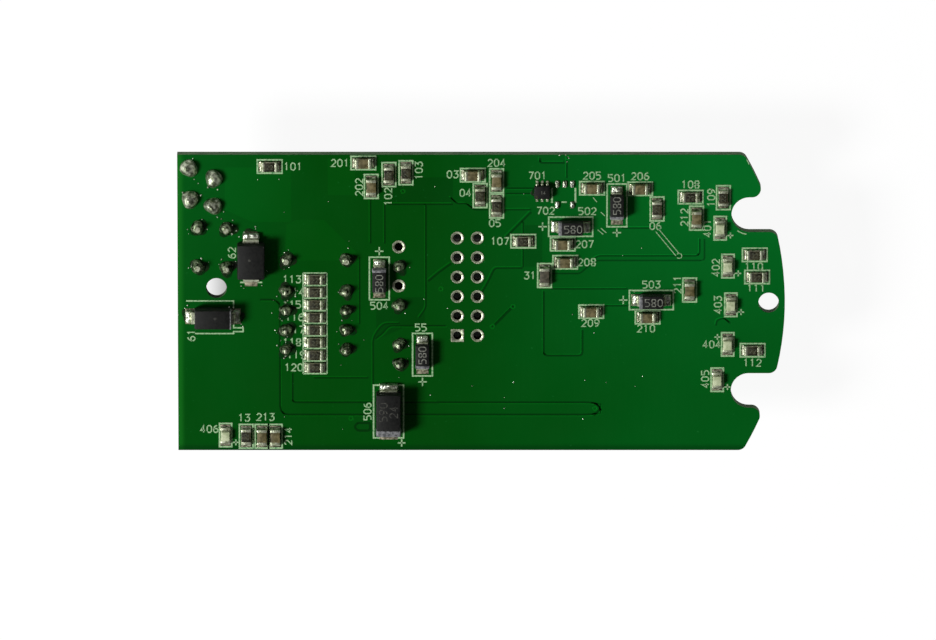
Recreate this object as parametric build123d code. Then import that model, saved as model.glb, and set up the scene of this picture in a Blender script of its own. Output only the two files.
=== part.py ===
from build123d import *

import os
from math import atan2, degrees, hypot, sqrt

# Circuit board of a small in-circuit emulator, with its parts on both faces.
#
# The origin is the middle of the rear fixing hole, on the board's top face. +X runs along the board
# to its rounded nose, +Y across the board and +Z out of the top face. Sizes are in millimetres.
# The small surface-mounted parts sit on the top face, z = 0. The tall parts hang from the underside,
# z = -BOARD_THICKNESS, and their leads come up through the board into solder joints on the top face.
#
# Every part is made standing on z = 0 about its own middle. Its spot is in per cent of the board's
# length from the tail and of its width from the lower edge, so the layout spreads with the board.

# Board
BOARD_LENGTH = 76.8
BOARD_WIDTH = 38.5
BOARD_THICKNESS = 1.6
NOSE_RADIUS = 38.0
NOSE_CORNER_RADIUS = 1.1
NOTCH_SPACING = 22.9
NOTCH_WIDTH = 4.5
NOTCH_DEPTH = 4.24
FIXING_HOLE_DIAMETER = 2.6
REAR_HOLE_INSET = 4.9
REAR_HOLE_RAISE = 1.9
NOSE_HOLE_INSET = 2.05

# Plated holes and pads
PIN_PITCH = 2.54
HEADER_ROW_COUNT = 6
PIN_HOLE_DIAMETER = 1.12
PAD_DIAMETER = 1.64
PAD_THICKNESS = 0.05
BARE_PAD_LENGTH = 1.0
BARE_PAD_WIDTH = 0.65
BARE_PAD_PITCH = 0.95
BARE_PAD_SPAN = 3.7

# Chips: a ceramic body with a metal cap on each end
CHIP_LENGTH = 2.0
CHIP_WIDTH = 1.25
CAP_LENGTH = 0.4
CAP_THICKNESS = 0.03
RESISTOR_HEIGHT = 0.55
CAPACITOR_HEIGHT = 0.85
BEAD_HEIGHT = 0.9
BEAD_LENGTH = 2.2
LED_BASE_HEIGHT = 0.35
LED_LENS_LENGTH = 1.3
LED_LENS_HEIGHT = 0.55
LED_LENS_DRAFT = 9.0
ROW_PITCH = 1.64
ROW_COUNT = 8

# Moulded two-lead parts
MOULD_DRAFT = 6.0
SMALL_TANTALUM_LENGTH = 3.5
SMALL_TANTALUM_WIDTH = 1.8
SMALL_TANTALUM_HEIGHT = 1.6
SMALL_TANTALUM_LEAD_WIDTH = 1.3
LARGE_TANTALUM_LENGTH = 6.0
LARGE_TANTALUM_WIDTH = 3.2
LARGE_TANTALUM_HEIGHT = 2.6
LARGE_TANTALUM_LEAD_WIDTH = 2.2
SURGE_DIODE_LENGTH = 5.5
SURGE_DIODE_WIDTH = 2.6
SURGE_DIODE_LEAD_WIDTH = 1.5
SUPPLY_DIODE_LENGTH = 5.4
SUPPLY_DIODE_WIDTH = 3.5
SUPPLY_DIODE_LEAD_WIDTH = 2.0
DIODE_HEIGHT = 2.2
TANTALUM_LEAD_REACH = 0.18
DIODE_LEAD_REACH = 0.4
STRIP_THICKNESS = 0.14
STRIP_FOOT = 0.8
STRIP_ROOT = 0.3

# Gull-wing packages
LOGIC_LENGTH = 2.0
LOGIC_WIDTH = 1.7
LOGIC_HEIGHT = 1.0
LOGIC_SPAN = 2.7
LOGIC_PITCH = 0.65
LOGIC_LEAD_COUNT = 3
DRIVER_LENGTH = 4.9
DRIVER_WIDTH = 3.9
DRIVER_HEIGHT = 1.6
DRIVER_SPAN = 6.0
DRIVER_LEAD_COUNT = 4
DRIVER_PITCH = 1.27
CONTROLLER_SIDE = 10.0
CONTROLLER_HEIGHT = 1.2
CONTROLLER_SPAN = 12.0
CONTROLLER_LEAD_COUNT = 11
CONTROLLER_PITCH = 0.8
GULL_THICKNESS = 0.13
GULL_WIDTH_SHARE = 0.45
GULL_FOOT = 0.5
PACKAGE_CLEARANCE = 0.1
DIMPLE_SHARE = 0.16
DIMPLE_INSET = 1.5
DIMPLE_DEPTH = 0.1

# Sides of a small round thing that repeats: a lead, the hole that its joint closes, a pad or a joint
SMALL_SIDES = 8

# Solder
FILLET_REACH = 0.42
FILLET_RISE = 0.8
JOINT_RADIUS = 0.8
JOINT_HEIGHT = 1.0
WIRE_JOINT_RADIUS = 1.1
WIRE_JOINT_HEIGHT = 1.15
WIRE_HOLE_DIAMETER = 1.1
JOINT_TIP_SHARE = 0.3
JOINT_FULLNESS = 0.62
WIRE_JOINT_FULLNESS = 0.74
TIP_HEIGHT = 0.35

# Parts soldered through the board from the underside
FLAT_PIN_WIDTH = 0.5
FLAT_PIN_THICKNESS = 0.3
FLAT_PIN_HOLE = 0.8
ROUND_LEAD_DIAMETER = 0.7
ROUND_LEAD_HOLE = 0.9
CONVERTER_LENGTH = 19.5
CONVERTER_THICKNESS = 6.0
CONVERTER_HEIGHT = 10.0
CONVERTER_PIN_SETBACK = 1.1
CONVERTER_ROW = ("pin", "pin", "none", "pin", "open", "pin", "open")
CONVERTER_STANDOFF = 0.5
DIP_LENGTH = 9.4
DIP_WIDTH = 6.35
DIP_HEIGHT = 3.3
DIP_STANDOFF = 0.5
DIP_ROW_COUNT = 4
DIP_ROW_SPACING = 7.62
DIP_TAB_WIDTH = 1.4
DIP_NOTCH_RADIUS = 0.8
DIP_NOTCH_DEPTH = 0.4
CLAMP_DIAMETER = 2.7
CLAMP_LENGTH = 4.2
CLAMP_SPACING = 7.55
CLAMP_BEND_RADIUS = 0.8
CLAMP_STANDOFF = 0.3
FUSE_WIDTH = 7.4
FUSE_HEIGHT = 8.6
FUSE_THICKNESS = 2.8
FUSE_ROUNDING = 1.6
FUSE_STANDOFF = 1.0
RADIAL_PITCH = 5.08
FILM_LENGTH = 7.2
FILM_THICKNESS = 2.5
FILM_HEIGHT = 6.5
FILM_STANDOFF = 0.3
CASE_CHAMFER = 0.3
CRYSTAL_LENGTH = 5.0
CRYSTAL_WIDTH = 3.2
CRYSTAL_HEIGHT = 1.1
CRYSTAL_LID_HEIGHT = 0.25
CRYSTAL_LID_MARGIN = 0.25

# Places that follow from the board
TAIL_X = -REAR_HOLE_INSET
NOSE_X = TAIL_X + BOARD_LENGTH
MID_Y = -REAR_HOLE_RAISE
LOWER_Y = MID_Y - BOARD_WIDTH / 2
ON_BOTTOM = Align.CENTER, Align.CENTER, Align.MIN


def spot(along, across, turn=0):
    """A place on the top face, in per cent of the board's length and width, and a turn about Z."""
    return Pos(TAIL_X + BOARD_LENGTH * along / 100, LOWER_Y + BOARD_WIDTH * across / 100) * Rot(0, 0, turn)


# The layout: each part's place, and its turn in degrees
RESISTOR_SPOTS = [
    spot(15.2, 96.0), spot(34.8, 93.3, 90), spot(37.6, 93.9, 90), spot(49.8, 86.2, 90),
    spot(52.5, 82.7, 90), spot(78.9, 81.7, 90), spot(56.9, 70.8), spot(84.4, 85.7),
    spot(89.8, 85.5, 90), spot(95.0, 66.2), spot(95.4, 58.7), spot(94.7, 33.9), spot(11.2, 4.7, 90),
]
CAPACITOR_SPOTS = [
    spot(30.6, 97.2), spot(31.9, 89.3, 90), spot(48.6, 93.1), spot(52.5, 91.2, 90),
    spot(68.2, 88.7), spot(76.1, 88.5), spot(63.4, 69.8), spot(63.8, 63.7), spot(68.1, 47.0),
    spot(77.4, 45.1), spot(84.3, 54.3, 90), spot(85.4, 78.6, 90), spot(13.8, 4.7, 90), spot(16.0, 4.7, 90),
]
BEAD_SPOT = spot(60.4, 59.2, 90)
LED_SPOTS = [
    spot(89.3, 75.2, 90), spot(90.6, 62.4, 90), spot(91.1, 49.3, 90), spot(90.6, 35.9, 90),
    spot(88.9, 23.9, 90), spot(7.8, 5.1, 90),
]
ROW_SPOT = spot(22.6, 43.0)
SMALL_TANTALUM_SPOTS = [
    spot(72.3, 82.9, -90), spot(64.7, 75.7, 180), spot(78.0, 50.9, 180), spot(33.2, 58.2, 90),
    spot(40.3, 32.4, -90),
]
LARGE_TANTALUM_SPOT = spot(34.7, 13.1, -90)
SURGE_DIODE_SPOT = spot(5.8, 45.4)
SUPPLY_DIODE_SPOT = spot(12.1, 64.8, 90)
LOGIC_SPOT = spot(60.0, 87.7)
BARE_PAD_SPOT = spot(63.7, 86.6)
HEADER_SPOT = spot(47.7, 55.4, 90)
CONVERTER_SPOT = spot(36.4, 49.1, 90)
DIP_SPOT = spot(22.7, 44.1, 90)
CLAMP_SPOT = spot(22.8, 64.5)
FUSE_SPOT = spot(3.3, 68.8, 90)
FILM_SPOT = spot(8.0, 68.4, 90)
WIRE_SPOTS = [spot(1.9, 95.4), spot(6.0, 91.9), spot(2.1, 84.9), spot(5.9, 82.7)]
CONTROLLER_SPOT = spot(73.2, 61.2)
CRYSTAL_SPOT = spot(69.9, 35.5)
DRIVER_SPOT = spot(56.5, 37.2, 90)


def in_line(place, pitch, count):
    """Places in a row along the local X of a place, centred on it."""
    return [place * Pos(pitch * (k - (count - 1) / 2), 0) for k in range(count)]


def two_rows(place, spacing, pitch, count):
    """Places in two rows along the local X of a place, the row on its +Y side first."""
    return [p for side in (1, -1) for p in in_line(place * Pos(0, side * spacing / 2), pitch, count)]


def underneath(place):
    """The same place on the underside, with the part's own +Z pointing down."""
    return place * Pos(0, 0, -BOARD_THICKNESS) * Rot(180, 0, 0)


HEADER_PLACES = two_rows(HEADER_SPOT, PIN_PITCH, PIN_PITCH, HEADER_ROW_COUNT)
CONVERTER_LINE = list(zip(in_line(CONVERTER_SPOT, PIN_PITCH, len(CONVERTER_ROW)), CONVERTER_ROW))
CONVERTER_PLACES = [place for place, use in CONVERTER_LINE if use == "pin"]
SPARE_PLACES = [place for place, use in CONVERTER_LINE if use == "open"]
DIP_PLACES = two_rows(DIP_SPOT, DIP_ROW_SPACING, PIN_PITCH, DIP_ROW_COUNT)
FLAT_PIN_PLACES = CONVERTER_PLACES + DIP_PLACES
ROUND_LEAD_PLACES = (in_line(CLAMP_SPOT, CLAMP_SPACING, 2)
                     + in_line(FUSE_SPOT, RADIAL_PITCH, 2) + in_line(FILM_SPOT, RADIAL_PITCH, 2))


# Board

def notch(side):
    """A round-ended slot, open to the front and as deep as NOTCH_DEPTH at its outer side."""
    outer_side = (NOTCH_SPACING + NOTCH_WIDTH) / 2
    edge = NOSE_X - NOSE_RADIUS + sqrt(NOSE_RADIUS**2 - outer_side**2)
    end = edge - NOTCH_DEPTH + NOTCH_WIDTH / 2
    slot = Pos(end, 0) * Circle(NOTCH_WIDTH / 2)
    slot += Pos(end, 0) * Rectangle(NOSE_X - end, NOTCH_WIDTH, align=(Align.MIN, Align.CENTER))
    return Pos(0, MID_Y + side * NOTCH_SPACING / 2) * slot


def board_outline():
    """Square tail, one large arc for the nose, two notches and softened nose corners."""
    middle_x = NOSE_X - NOSE_RADIUS
    blank = Pos(TAIL_X, MID_Y) * Rectangle(BOARD_LENGTH, BOARD_WIDTH, align=(Align.MIN, Align.CENTER))
    tail = Pos(TAIL_X, MID_Y) * Rectangle(middle_x - TAIL_X, BOARD_WIDTH, align=(Align.MIN, Align.CENTER))
    outline = tail + (blank & Pos(middle_x, MID_Y) * Circle(NOSE_RADIUS))
    outline -= notch(-1) + notch(1)
    on_arc = [v for v in outline.vertices() if abs(hypot(v.X - middle_x, v.Y - MID_Y) - NOSE_RADIUS) < 0.001]
    return fillet(on_arc, NOSE_CORNER_RADIUS)


def small_round(diameter):
    """The eight-sided outline that goes round a circle."""
    return RegularPolygon(diameter / 2, SMALL_SIDES, major_radius=False)


def board():
    """The bare board with every hole drilled."""
    fixings = [Pos(0, 0), Pos(NOSE_X - NOSE_HOLE_INSET, MID_Y)]
    holes = [place * Circle(FIXING_HOLE_DIAMETER / 2) for place in fixings]
    holes += [place * Circle(PIN_HOLE_DIAMETER / 2) for place in HEADER_PLACES + SPARE_PLACES]
    holes += [place * small_round(FLAT_PIN_HOLE) for place in FLAT_PIN_PLACES]
    holes += [place * small_round(ROUND_LEAD_HOLE) for place in ROUND_LEAD_PLACES]
    holes += [place * small_round(WIRE_HOLE_DIAMETER) for place in WIRE_SPOTS]
    return extrude(board_outline() - holes, amount=-BOARD_THICKNESS)


def pad_rings(place, outline):
    """The pads of one open hole, one on each face of the board."""
    ring = extrude(outline - small_round(PIN_HOLE_DIAMETER), PAD_THICKNESS)
    return [place * ring, underneath(place) * ring]


def header_pads():
    """The pads of the two-row header; those of the first hole are square."""
    first, *others = HEADER_PLACES
    rings = pad_rings(first, Rectangle(PAD_DIAMETER, PAD_DIAMETER))
    return rings + [ring for place in others for ring in pad_rings(place, small_round(PAD_DIAMETER))]


def spare_pads():
    """The pads of the two holes that the fitted converter leaves open."""
    return [ring for place in SPARE_PLACES for ring in pad_rings(place, small_round(PAD_DIAMETER))]


def bare_pads():
    """Five tinned pads of a package that isn't fitted."""
    pad = block(BARE_PAD_WIDTH, BARE_PAD_LENGTH, PAD_THICKNESS)
    reach = (BARE_PAD_SPAN - BARE_PAD_LENGTH) / 2
    far_row = [Pos(k * BARE_PAD_PITCH, reach) for k in (-1, 0, 1)]
    near_row = [Pos(k * BARE_PAD_PITCH, -reach) for k in (-1, 1)]
    return [BARE_PAD_SPOT * place * pad for place in far_row + near_row]


# Small parts

def block(length, width, height):
    """A box standing on z = 0."""
    return Box(length, width, height, align=ON_BOTTOM)


def chip(height, length=CHIP_LENGTH):
    """A two-terminal chip whose end caps wrap its body and stand a little proud of it."""
    caps = block(length, CHIP_WIDTH, height) - block(length - 2 * CAP_LENGTH, CHIP_WIDTH, height)
    core = block(length - CAP_LENGTH, CHIP_WIDTH - 2 * CAP_THICKNESS, height - 2 * CAP_THICKNESS)
    return caps + Pos(0, 0, CAP_THICKNESS) * core


def led():
    """A chip lamp: a thin base with end caps, and a drafted lens block on it."""
    foot = Rectangle(LED_LENS_LENGTH, CHIP_WIDTH - 2 * CAP_THICKNESS)
    lens = extrude(foot, LED_LENS_HEIGHT, taper=LED_LENS_DRAFT)
    base = chip(LED_BASE_HEIGHT)
    seat = LED_BASE_HEIGHT - CAP_THICKNESS
    caps_clear = block(LED_LENS_LENGTH, CHIP_WIDTH, LED_BASE_HEIGHT)
    base -= Pos(0, 0, seat) * caps_clear
    return [base, Pos(0, 0, seat) * lens]


def moulded_case(length, width, height, foot):
    """A moulded case: two drafted halves that meet at half height, where the leads come out."""
    seam = height / 2
    upper = extrude(Rectangle(length, width), height - seam, taper=MOULD_DRAFT)
    lower = extrude(Rectangle(length, width), seam - foot, taper=MOULD_DRAFT)
    return Pos(0, 0, seam) * (upper + Rot(180, 0, 0) * lower)


def strip_lead(case_length, overall_length, seam, width):
    """A flat lead, rooted in the case at its seam, that runs down its end and turns in under it."""
    t = STRIP_THICKNESS
    inner, outer = case_length / 2 - STRIP_ROOT, overall_length / 2
    profile = Polyline(
        (inner, seam), (outer, seam), (outer, 0), (outer - STRIP_FOOT, 0),
        (outer - STRIP_FOOT, t), (outer - t, t), (outer - t, seam - t), (inner, seam - t), close=True,
    )
    return extrude(Plane.XZ * make_face(profile), width / 2, both=True)


def moulded_part(length, width, height, lead_width, lead_reach=TANTALUM_LEAD_REACH):
    """A tantalum capacitor or a diode; its marked end is at +X."""
    case_length = length - 2 * lead_reach
    case = moulded_case(case_length, width, height, STRIP_THICKNESS)
    lead = strip_lead(case_length, length, height / 2 + STRIP_THICKNESS / 2, lead_width)
    leads = [lead, Rot(0, 0, 180) * lead]
    return [case - leads] + leads


def gull_lead(case_half, span, seam, width):
    """A lead that leaves the case along X, drops and lies flat on the board."""
    t = GULL_THICKNESS
    toe = span / 2
    heel = toe - GULL_FOOT
    knee = (case_half + heel) / 2
    profile = Polyline(
        (case_half, seam), (case_half, seam + t), (knee + t, seam + t), (heel + t, t),
        (toe, t), (toe, 0), (heel, 0), (knee, seam), close=True,
    )
    return extrude(Plane.XZ * make_face(profile), width / 2, both=True)


def package(length, width, height):
    """A moulded package with drafted sides, raised off the board, and a dimple at lead 1."""
    seam = height / 2
    upper = extrude(Rectangle(length, width), height - seam, taper=MOULD_DRAFT)
    lower = extrude(Rectangle(length, width), seam - PACKAGE_CLEARANCE, taper=MOULD_DRAFT)
    case = Pos(0, 0, seam) * (upper + Rot(180, 0, 0) * lower)
    across = min(length, width) * DIMPLE_SHARE
    inset = across * DIMPLE_INSET
    corner = Pos(inset - length / 2, inset - width / 2, height)
    return case - corner * extrude(small_round(across), DIMPLE_DEPTH, both=True)


def lead_row(case_half, span, height, pitch, count):
    """A row of gull leads on the +X side of a package."""
    lead = gull_lead(case_half, span, (height - GULL_THICKNESS) / 2, pitch * GULL_WIDTH_SHARE)
    return [Pos(0, pitch * (k - (count - 1) / 2)) * lead for k in range(count)]


def gull_package(length, width, height, span, pitch, count):
    """A small package with a row of leads along each long side."""
    leads = lead_row(width / 2, span, height, pitch, count)
    return [package(length, width, height)] + [Rot(0, 0, a) * lead for a in (90, -90) for lead in leads]


def crystal():
    """A flat ceramic crystal with a seam-welded metal lid."""
    base = block(CRYSTAL_LENGTH, CRYSTAL_WIDTH, CRYSTAL_HEIGHT - CRYSTAL_LID_HEIGHT)
    base = fillet(base.edges().filter_by(Axis.Z), CRYSTAL_LID_MARGIN)
    around = 2 * CRYSTAL_LID_MARGIN
    lid = block(CRYSTAL_LENGTH - around, CRYSTAL_WIDTH - around, CRYSTAL_LID_HEIGHT)
    return [base, Pos(0, 0, CRYSTAL_HEIGHT - CRYSTAL_LID_HEIGHT) * lid]


# Solder

def solder_wedge(width, rise):
    """The fillet between a pad and the end of a part, which is at x = 0."""
    profile = Polyline((0, 0), (FILLET_REACH, 0), (0, rise), close=True)
    return extrude(Plane.XZ * make_face(profile), width / 2, both=True)


def wedge_pair(place, length, width, height):
    """The two end fillets of a part of this length, as high as FILLET_RISE of its end."""
    wedge = Pos(length / 2, 0) * solder_wedge(width, height * FILLET_RISE)
    return [place * wedge, place * Rot(0, 0, 180) * wedge]


def chip_solder():
    """The fillets of all the top face's chips, lamps and moulded parts."""
    ends = [(place, CHIP_LENGTH, CHIP_WIDTH, RESISTOR_HEIGHT) for place in RESISTOR_SPOTS + row_places()]
    ends += [(place, CHIP_LENGTH, CHIP_WIDTH, CAPACITOR_HEIGHT) for place in CAPACITOR_SPOTS]
    ends += [(place, CHIP_LENGTH, CHIP_WIDTH, LED_BASE_HEIGHT) for place in LED_SPOTS]
    ends += [(BEAD_SPOT, BEAD_LENGTH, CHIP_WIDTH, BEAD_HEIGHT)]
    ends += [(place, SMALL_TANTALUM_LENGTH, SMALL_TANTALUM_LEAD_WIDTH, SMALL_TANTALUM_HEIGHT / 2)
             for place in SMALL_TANTALUM_SPOTS]
    ends += [(LARGE_TANTALUM_SPOT, LARGE_TANTALUM_LENGTH, LARGE_TANTALUM_LEAD_WIDTH,
              LARGE_TANTALUM_HEIGHT / 2)]
    ends += [(SURGE_DIODE_SPOT, SURGE_DIODE_LENGTH, SURGE_DIODE_LEAD_WIDTH, DIODE_HEIGHT / 2)]
    ends += [(SUPPLY_DIODE_SPOT, SUPPLY_DIODE_LENGTH, SUPPLY_DIODE_LEAD_WIDTH, DIODE_HEIGHT / 2)]
    return [wedge for end in ends for wedge in wedge_pair(*end)]


def frustum(lower, upper, height):
    """A few-sided frustum standing on z = 0."""
    draft = degrees(atan2(lower - upper, height))
    return extrude(RegularPolygon(lower, SMALL_SIDES, major_radius=False), height, taper=draft)


def solder_cone(radius, height, fullness):
    """A soldered cone on a pad; a larger fullness makes it a rounder dome."""
    skirt = frustum(radius, radius * fullness, height * fullness)
    crown = frustum(radius * fullness, radius * JOINT_TIP_SHARE, height * (1 - fullness))
    return skirt + Pos(0, 0, height * fullness) * crown


def flat_pin(below):
    """A flat pin from a depth under the underside to just past the tip of its joint."""
    reach = below + BOARD_THICKNESS + JOINT_HEIGHT + TIP_HEIGHT
    return Pos(0, 0, -BOARD_THICKNESS - below) * block(FLAT_PIN_WIDTH, FLAT_PIN_THICKNESS, reach)


def round_lead(below):
    """A round lead from a depth under the underside to just past the tip of its joint."""
    reach = below + BOARD_THICKNESS + JOINT_HEIGHT + TIP_HEIGHT
    return Pos(0, 0, -BOARD_THICKNESS - below) * extrude(small_round(ROUND_LEAD_DIAMETER), reach)


def pin_joints():
    """The joints of every lead that comes up through the board."""
    joint = solder_cone(JOINT_RADIUS, JOINT_HEIGHT, JOINT_FULLNESS)
    flat, full = joint - flat_pin(0), joint - round_lead(0)
    return [p * flat for p in FLAT_PIN_PLACES] + [p * full for p in ROUND_LEAD_PLACES]


def wire_joints():
    """Four large joints for the cable's wires: a dome above, a plug in the hole and a drop below."""
    dome = solder_cone(WIRE_JOINT_RADIUS, WIRE_JOINT_HEIGHT, WIRE_JOINT_FULLNESS)
    plug = extrude(small_round(WIRE_HOLE_DIAMETER), -BOARD_THICKNESS)
    drop = solder_cone(WIRE_JOINT_RADIUS, WIRE_JOINT_HEIGHT / 2, WIRE_JOINT_FULLNESS)
    return [place * (dome + plug + underneath(Pos(0, 0)) * drop) for place in WIRE_SPOTS]


# Parts on the underside; each is made about its place on the top face

def converter():
    """A potted voltage converter standing on a single row of pins."""
    set_off = CONVERTER_THICKNESS / 2 - CONVERTER_PIN_SETBACK
    case = block(CONVERTER_LENGTH, CONVERTER_THICKNESS, CONVERTER_HEIGHT)
    case = chamfer(case.edges().filter_by(Axis.Z) + case.faces().sort_by(Axis.Z)[-1].edges(), CASE_CHAMFER)
    hung = underneath(Pos(0, set_off)) * Pos(0, 0, CONVERTER_STANDOFF) * case
    pins = [p * flat_pin(CONVERTER_STANDOFF) for p in CONVERTER_PLACES]
    return [CONVERTER_SPOT * hung] + pins


def dip_lead():
    """One lead of the dual-in-line package, on its +Y side: tab, shoulder and pin."""
    seam = DIP_STANDOFF + DIP_HEIGHT / 2
    tab_reach = (DIP_ROW_SPACING - DIP_WIDTH) / 2 + FLAT_PIN_THICKNESS / 2
    tab = Pos(0, 0, -BOARD_THICKNESS - seam) * Box(
        DIP_TAB_WIDTH, tab_reach, FLAT_PIN_THICKNESS, align=(Align.CENTER, Align.MAX, Align.CENTER))
    shoulder = Pos(0, 0, -BOARD_THICKNESS - seam - FLAT_PIN_THICKNESS / 2) * block(
        DIP_TAB_WIDTH, FLAT_PIN_THICKNESS, seam - DIP_STANDOFF + FLAT_PIN_THICKNESS / 2)
    return Pos(0, FLAT_PIN_THICKNESS / 2) * tab + shoulder + flat_pin(DIP_STANDOFF)


def dip_package():
    """An eight-pin dual-in-line package with its end notch."""
    seam = DIP_HEIGHT / 2
    half = extrude(Rectangle(DIP_LENGTH, DIP_WIDTH), seam, taper=MOULD_DRAFT)
    notch_cut = Pos(-DIP_LENGTH / 2, 0, DIP_HEIGHT) * Cylinder(DIP_NOTCH_RADIUS, DIP_NOTCH_DEPTH * 2)
    case = Pos(0, 0, seam) * (half + Rot(180, 0, 0) * half) - notch_cut
    hung = underneath(DIP_SPOT) * Pos(0, 0, DIP_STANDOFF) * case
    upper = [p * dip_lead() for p in DIP_PLACES[:DIP_ROW_COUNT]]
    lower = [p * Rot(0, 0, 180) * dip_lead() for p in DIP_PLACES[DIP_ROW_COUNT:]]
    return [hung] + upper + lower


def clamp_lead():
    """A round lead from the +X end of the clamp diode's body, bent up through the board."""
    depth = BOARD_THICKNESS + CLAMP_STANDOFF + CLAMP_DIAMETER / 2
    reach = CLAMP_SPACING / 2
    path = FilletPolyline(
        (CLAMP_LENGTH / 2, 0, -depth), (reach, 0, -depth), (reach, 0, JOINT_HEIGHT + TIP_HEIGHT),
        radius=CLAMP_BEND_RADIUS,
    )
    start = Plane((CLAMP_LENGTH / 2, 0, -depth), z_dir=(1, 0, 0))
    return sweep(start * small_round(ROUND_LEAD_DIAMETER), path)


def clamp_diode():
    """An axial diode lying across the board."""
    body = Cylinder(CLAMP_DIAMETER / 2, CLAMP_LENGTH)
    lying = Pos(0, 0, -BOARD_THICKNESS - CLAMP_STANDOFF - CLAMP_DIAMETER / 2) * Rot(0, 90, 0) * body
    return [CLAMP_SPOT * piece for piece in (lying, clamp_lead(), Rot(0, 0, 180) * clamp_lead())]


def resettable_fuse():
    """A flat dipped block with rounded corners, on two round leads."""
    block_end = Rectangle(FUSE_WIDTH, FUSE_HEIGHT)
    block_end = fillet(block_end.vertices(), FUSE_ROUNDING)
    standing = extrude(Plane.XZ * block_end, FUSE_THICKNESS / 2, both=True)
    leads = [p * round_lead(FUSE_STANDOFF) for p in in_line(Pos(0, 0), RADIAL_PITCH, 2)]
    hung = underneath(Pos(0, 0)) * Pos(0, 0, FUSE_STANDOFF + FUSE_HEIGHT / 2) * standing
    return [FUSE_SPOT * piece for piece in [hung] + leads]


def film_capacitor():
    """A box film capacitor on two round leads."""
    case = block(FILM_LENGTH, FILM_THICKNESS, FILM_HEIGHT)
    case = chamfer(case.edges().filter_by(Axis.Z) + case.faces().sort_by(Axis.Z)[-1].edges(), CASE_CHAMFER)
    hung = underneath(Pos(0, 0)) * Pos(0, 0, FILM_STANDOFF) * case
    leads = [p * round_lead(FILM_STANDOFF) for p in in_line(Pos(0, 0), RADIAL_PITCH, 2)]
    return [FILM_SPOT * piece for piece in [hung] + leads]


def controller():
    """The main controller: a square package, and the node of its leads on four sides."""
    case = package(CONTROLLER_SIDE, CONTROLLER_SIDE, CONTROLLER_HEIGHT)
    row = lead_row(CONTROLLER_SIDE / 2, CONTROLLER_SPAN, CONTROLLER_HEIGHT, CONTROLLER_PITCH,
                   CONTROLLER_LEAD_COUNT)
    leads = [Rot(0, 0, turn) * lead for turn in range(0, 360, 90) for lead in row]
    return [case], leads


def row_places():
    """The places of the ladder of resistors between the rows of the dual-in-line package."""
    return [ROW_SPOT * Pos(0, ROW_PITCH * (k - (ROW_COUNT - 1) / 2)) for k in range(ROW_COUNT)]


def save(name, solids, place=Pos(0, 0)):
    """Writes one node: the solids of one part, or of one group of small parts, at their place."""
    placed = [place * solid for solid in solids]
    export_step(placed[0] if len(placed) == 1 else Compound(children=placed), f"parts/{name}.step")


def save_each(name, solids, places):
    """Writes the same part once for each place, numbered from 1."""
    for number, place in enumerate(places, 1):
        save(f"{name}_{number}", solids, place)


def main():
    os.makedirs("parts", exist_ok=True)
    small_tantalum = moulded_part(SMALL_TANTALUM_LENGTH, SMALL_TANTALUM_WIDTH, SMALL_TANTALUM_HEIGHT,
                                  SMALL_TANTALUM_LEAD_WIDTH)
    large_tantalum = moulded_part(LARGE_TANTALUM_LENGTH, LARGE_TANTALUM_WIDTH, LARGE_TANTALUM_HEIGHT,
                                  LARGE_TANTALUM_LEAD_WIDTH)
    surge_diode = moulded_part(SURGE_DIODE_LENGTH, SURGE_DIODE_WIDTH, DIODE_HEIGHT,
                               SURGE_DIODE_LEAD_WIDTH, DIODE_LEAD_REACH)
    supply_diode = moulded_part(SUPPLY_DIODE_LENGTH, SUPPLY_DIODE_WIDTH, DIODE_HEIGHT,
                                SUPPLY_DIODE_LEAD_WIDTH, DIODE_LEAD_REACH)
    logic = gull_package(LOGIC_LENGTH, LOGIC_WIDTH, LOGIC_HEIGHT, LOGIC_SPAN, LOGIC_PITCH, LOGIC_LEAD_COUNT)
    driver = gull_package(DRIVER_LENGTH, DRIVER_WIDTH, DRIVER_HEIGHT, DRIVER_SPAN, DRIVER_PITCH,
                          DRIVER_LEAD_COUNT)
    controller_case, controller_leads = controller()

    save("board", [board()])
    save("header_pads", header_pads())
    save("spare_pads", spare_pads())
    save("bare_pads", bare_pads())
    save_each("chip_resistor", [chip(RESISTOR_HEIGHT)], RESISTOR_SPOTS)
    save_each("chip_capacitor", [chip(CAPACITOR_HEIGHT)], CAPACITOR_SPOTS)
    save("ferrite_bead", [chip(BEAD_HEIGHT, BEAD_LENGTH)], BEAD_SPOT)
    save("resistor_ladder", [place * chip(RESISTOR_HEIGHT) for place in row_places()])
    save_each("indicator_led", led(), LED_SPOTS)
    save_each("small_tantalum", small_tantalum, SMALL_TANTALUM_SPOTS)
    save("large_tantalum", large_tantalum, LARGE_TANTALUM_SPOT)
    save("surge_diode", surge_diode, SURGE_DIODE_SPOT)
    save("supply_diode", supply_diode, SUPPLY_DIODE_SPOT)
    save("logic_chip", logic, LOGIC_SPOT)
    save("chip_solder", chip_solder())
    save("pin_joints", pin_joints())
    save("wire_joints", wire_joints())
    save("isolated_converter", converter())
    save("dip_coupler", dip_package())
    save("clamp_diode", clamp_diode())
    save("resettable_fuse", resettable_fuse())
    save("film_capacitor", film_capacitor())
    save("main_controller", controller_case, underneath(CONTROLLER_SPOT))
    save("controller_leads", controller_leads, underneath(CONTROLLER_SPOT))
    save("line_driver", driver, underneath(DRIVER_SPOT))
    save("clock_crystal", crystal(), underneath(CRYSTAL_SPOT))


main()
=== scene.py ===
# %% [markdown]
# # Dressing an emulator's circuit board
# The measured model holds every part at its real size. This lesson puts the looks on it: the green
# solder mask, the printed marks, the tinned ends, the lumps of solder and the moulded cases.

# %% Load the measured model
import math
import random

import bmesh
import bpy
from mathutils import Matrix, Vector


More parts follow.
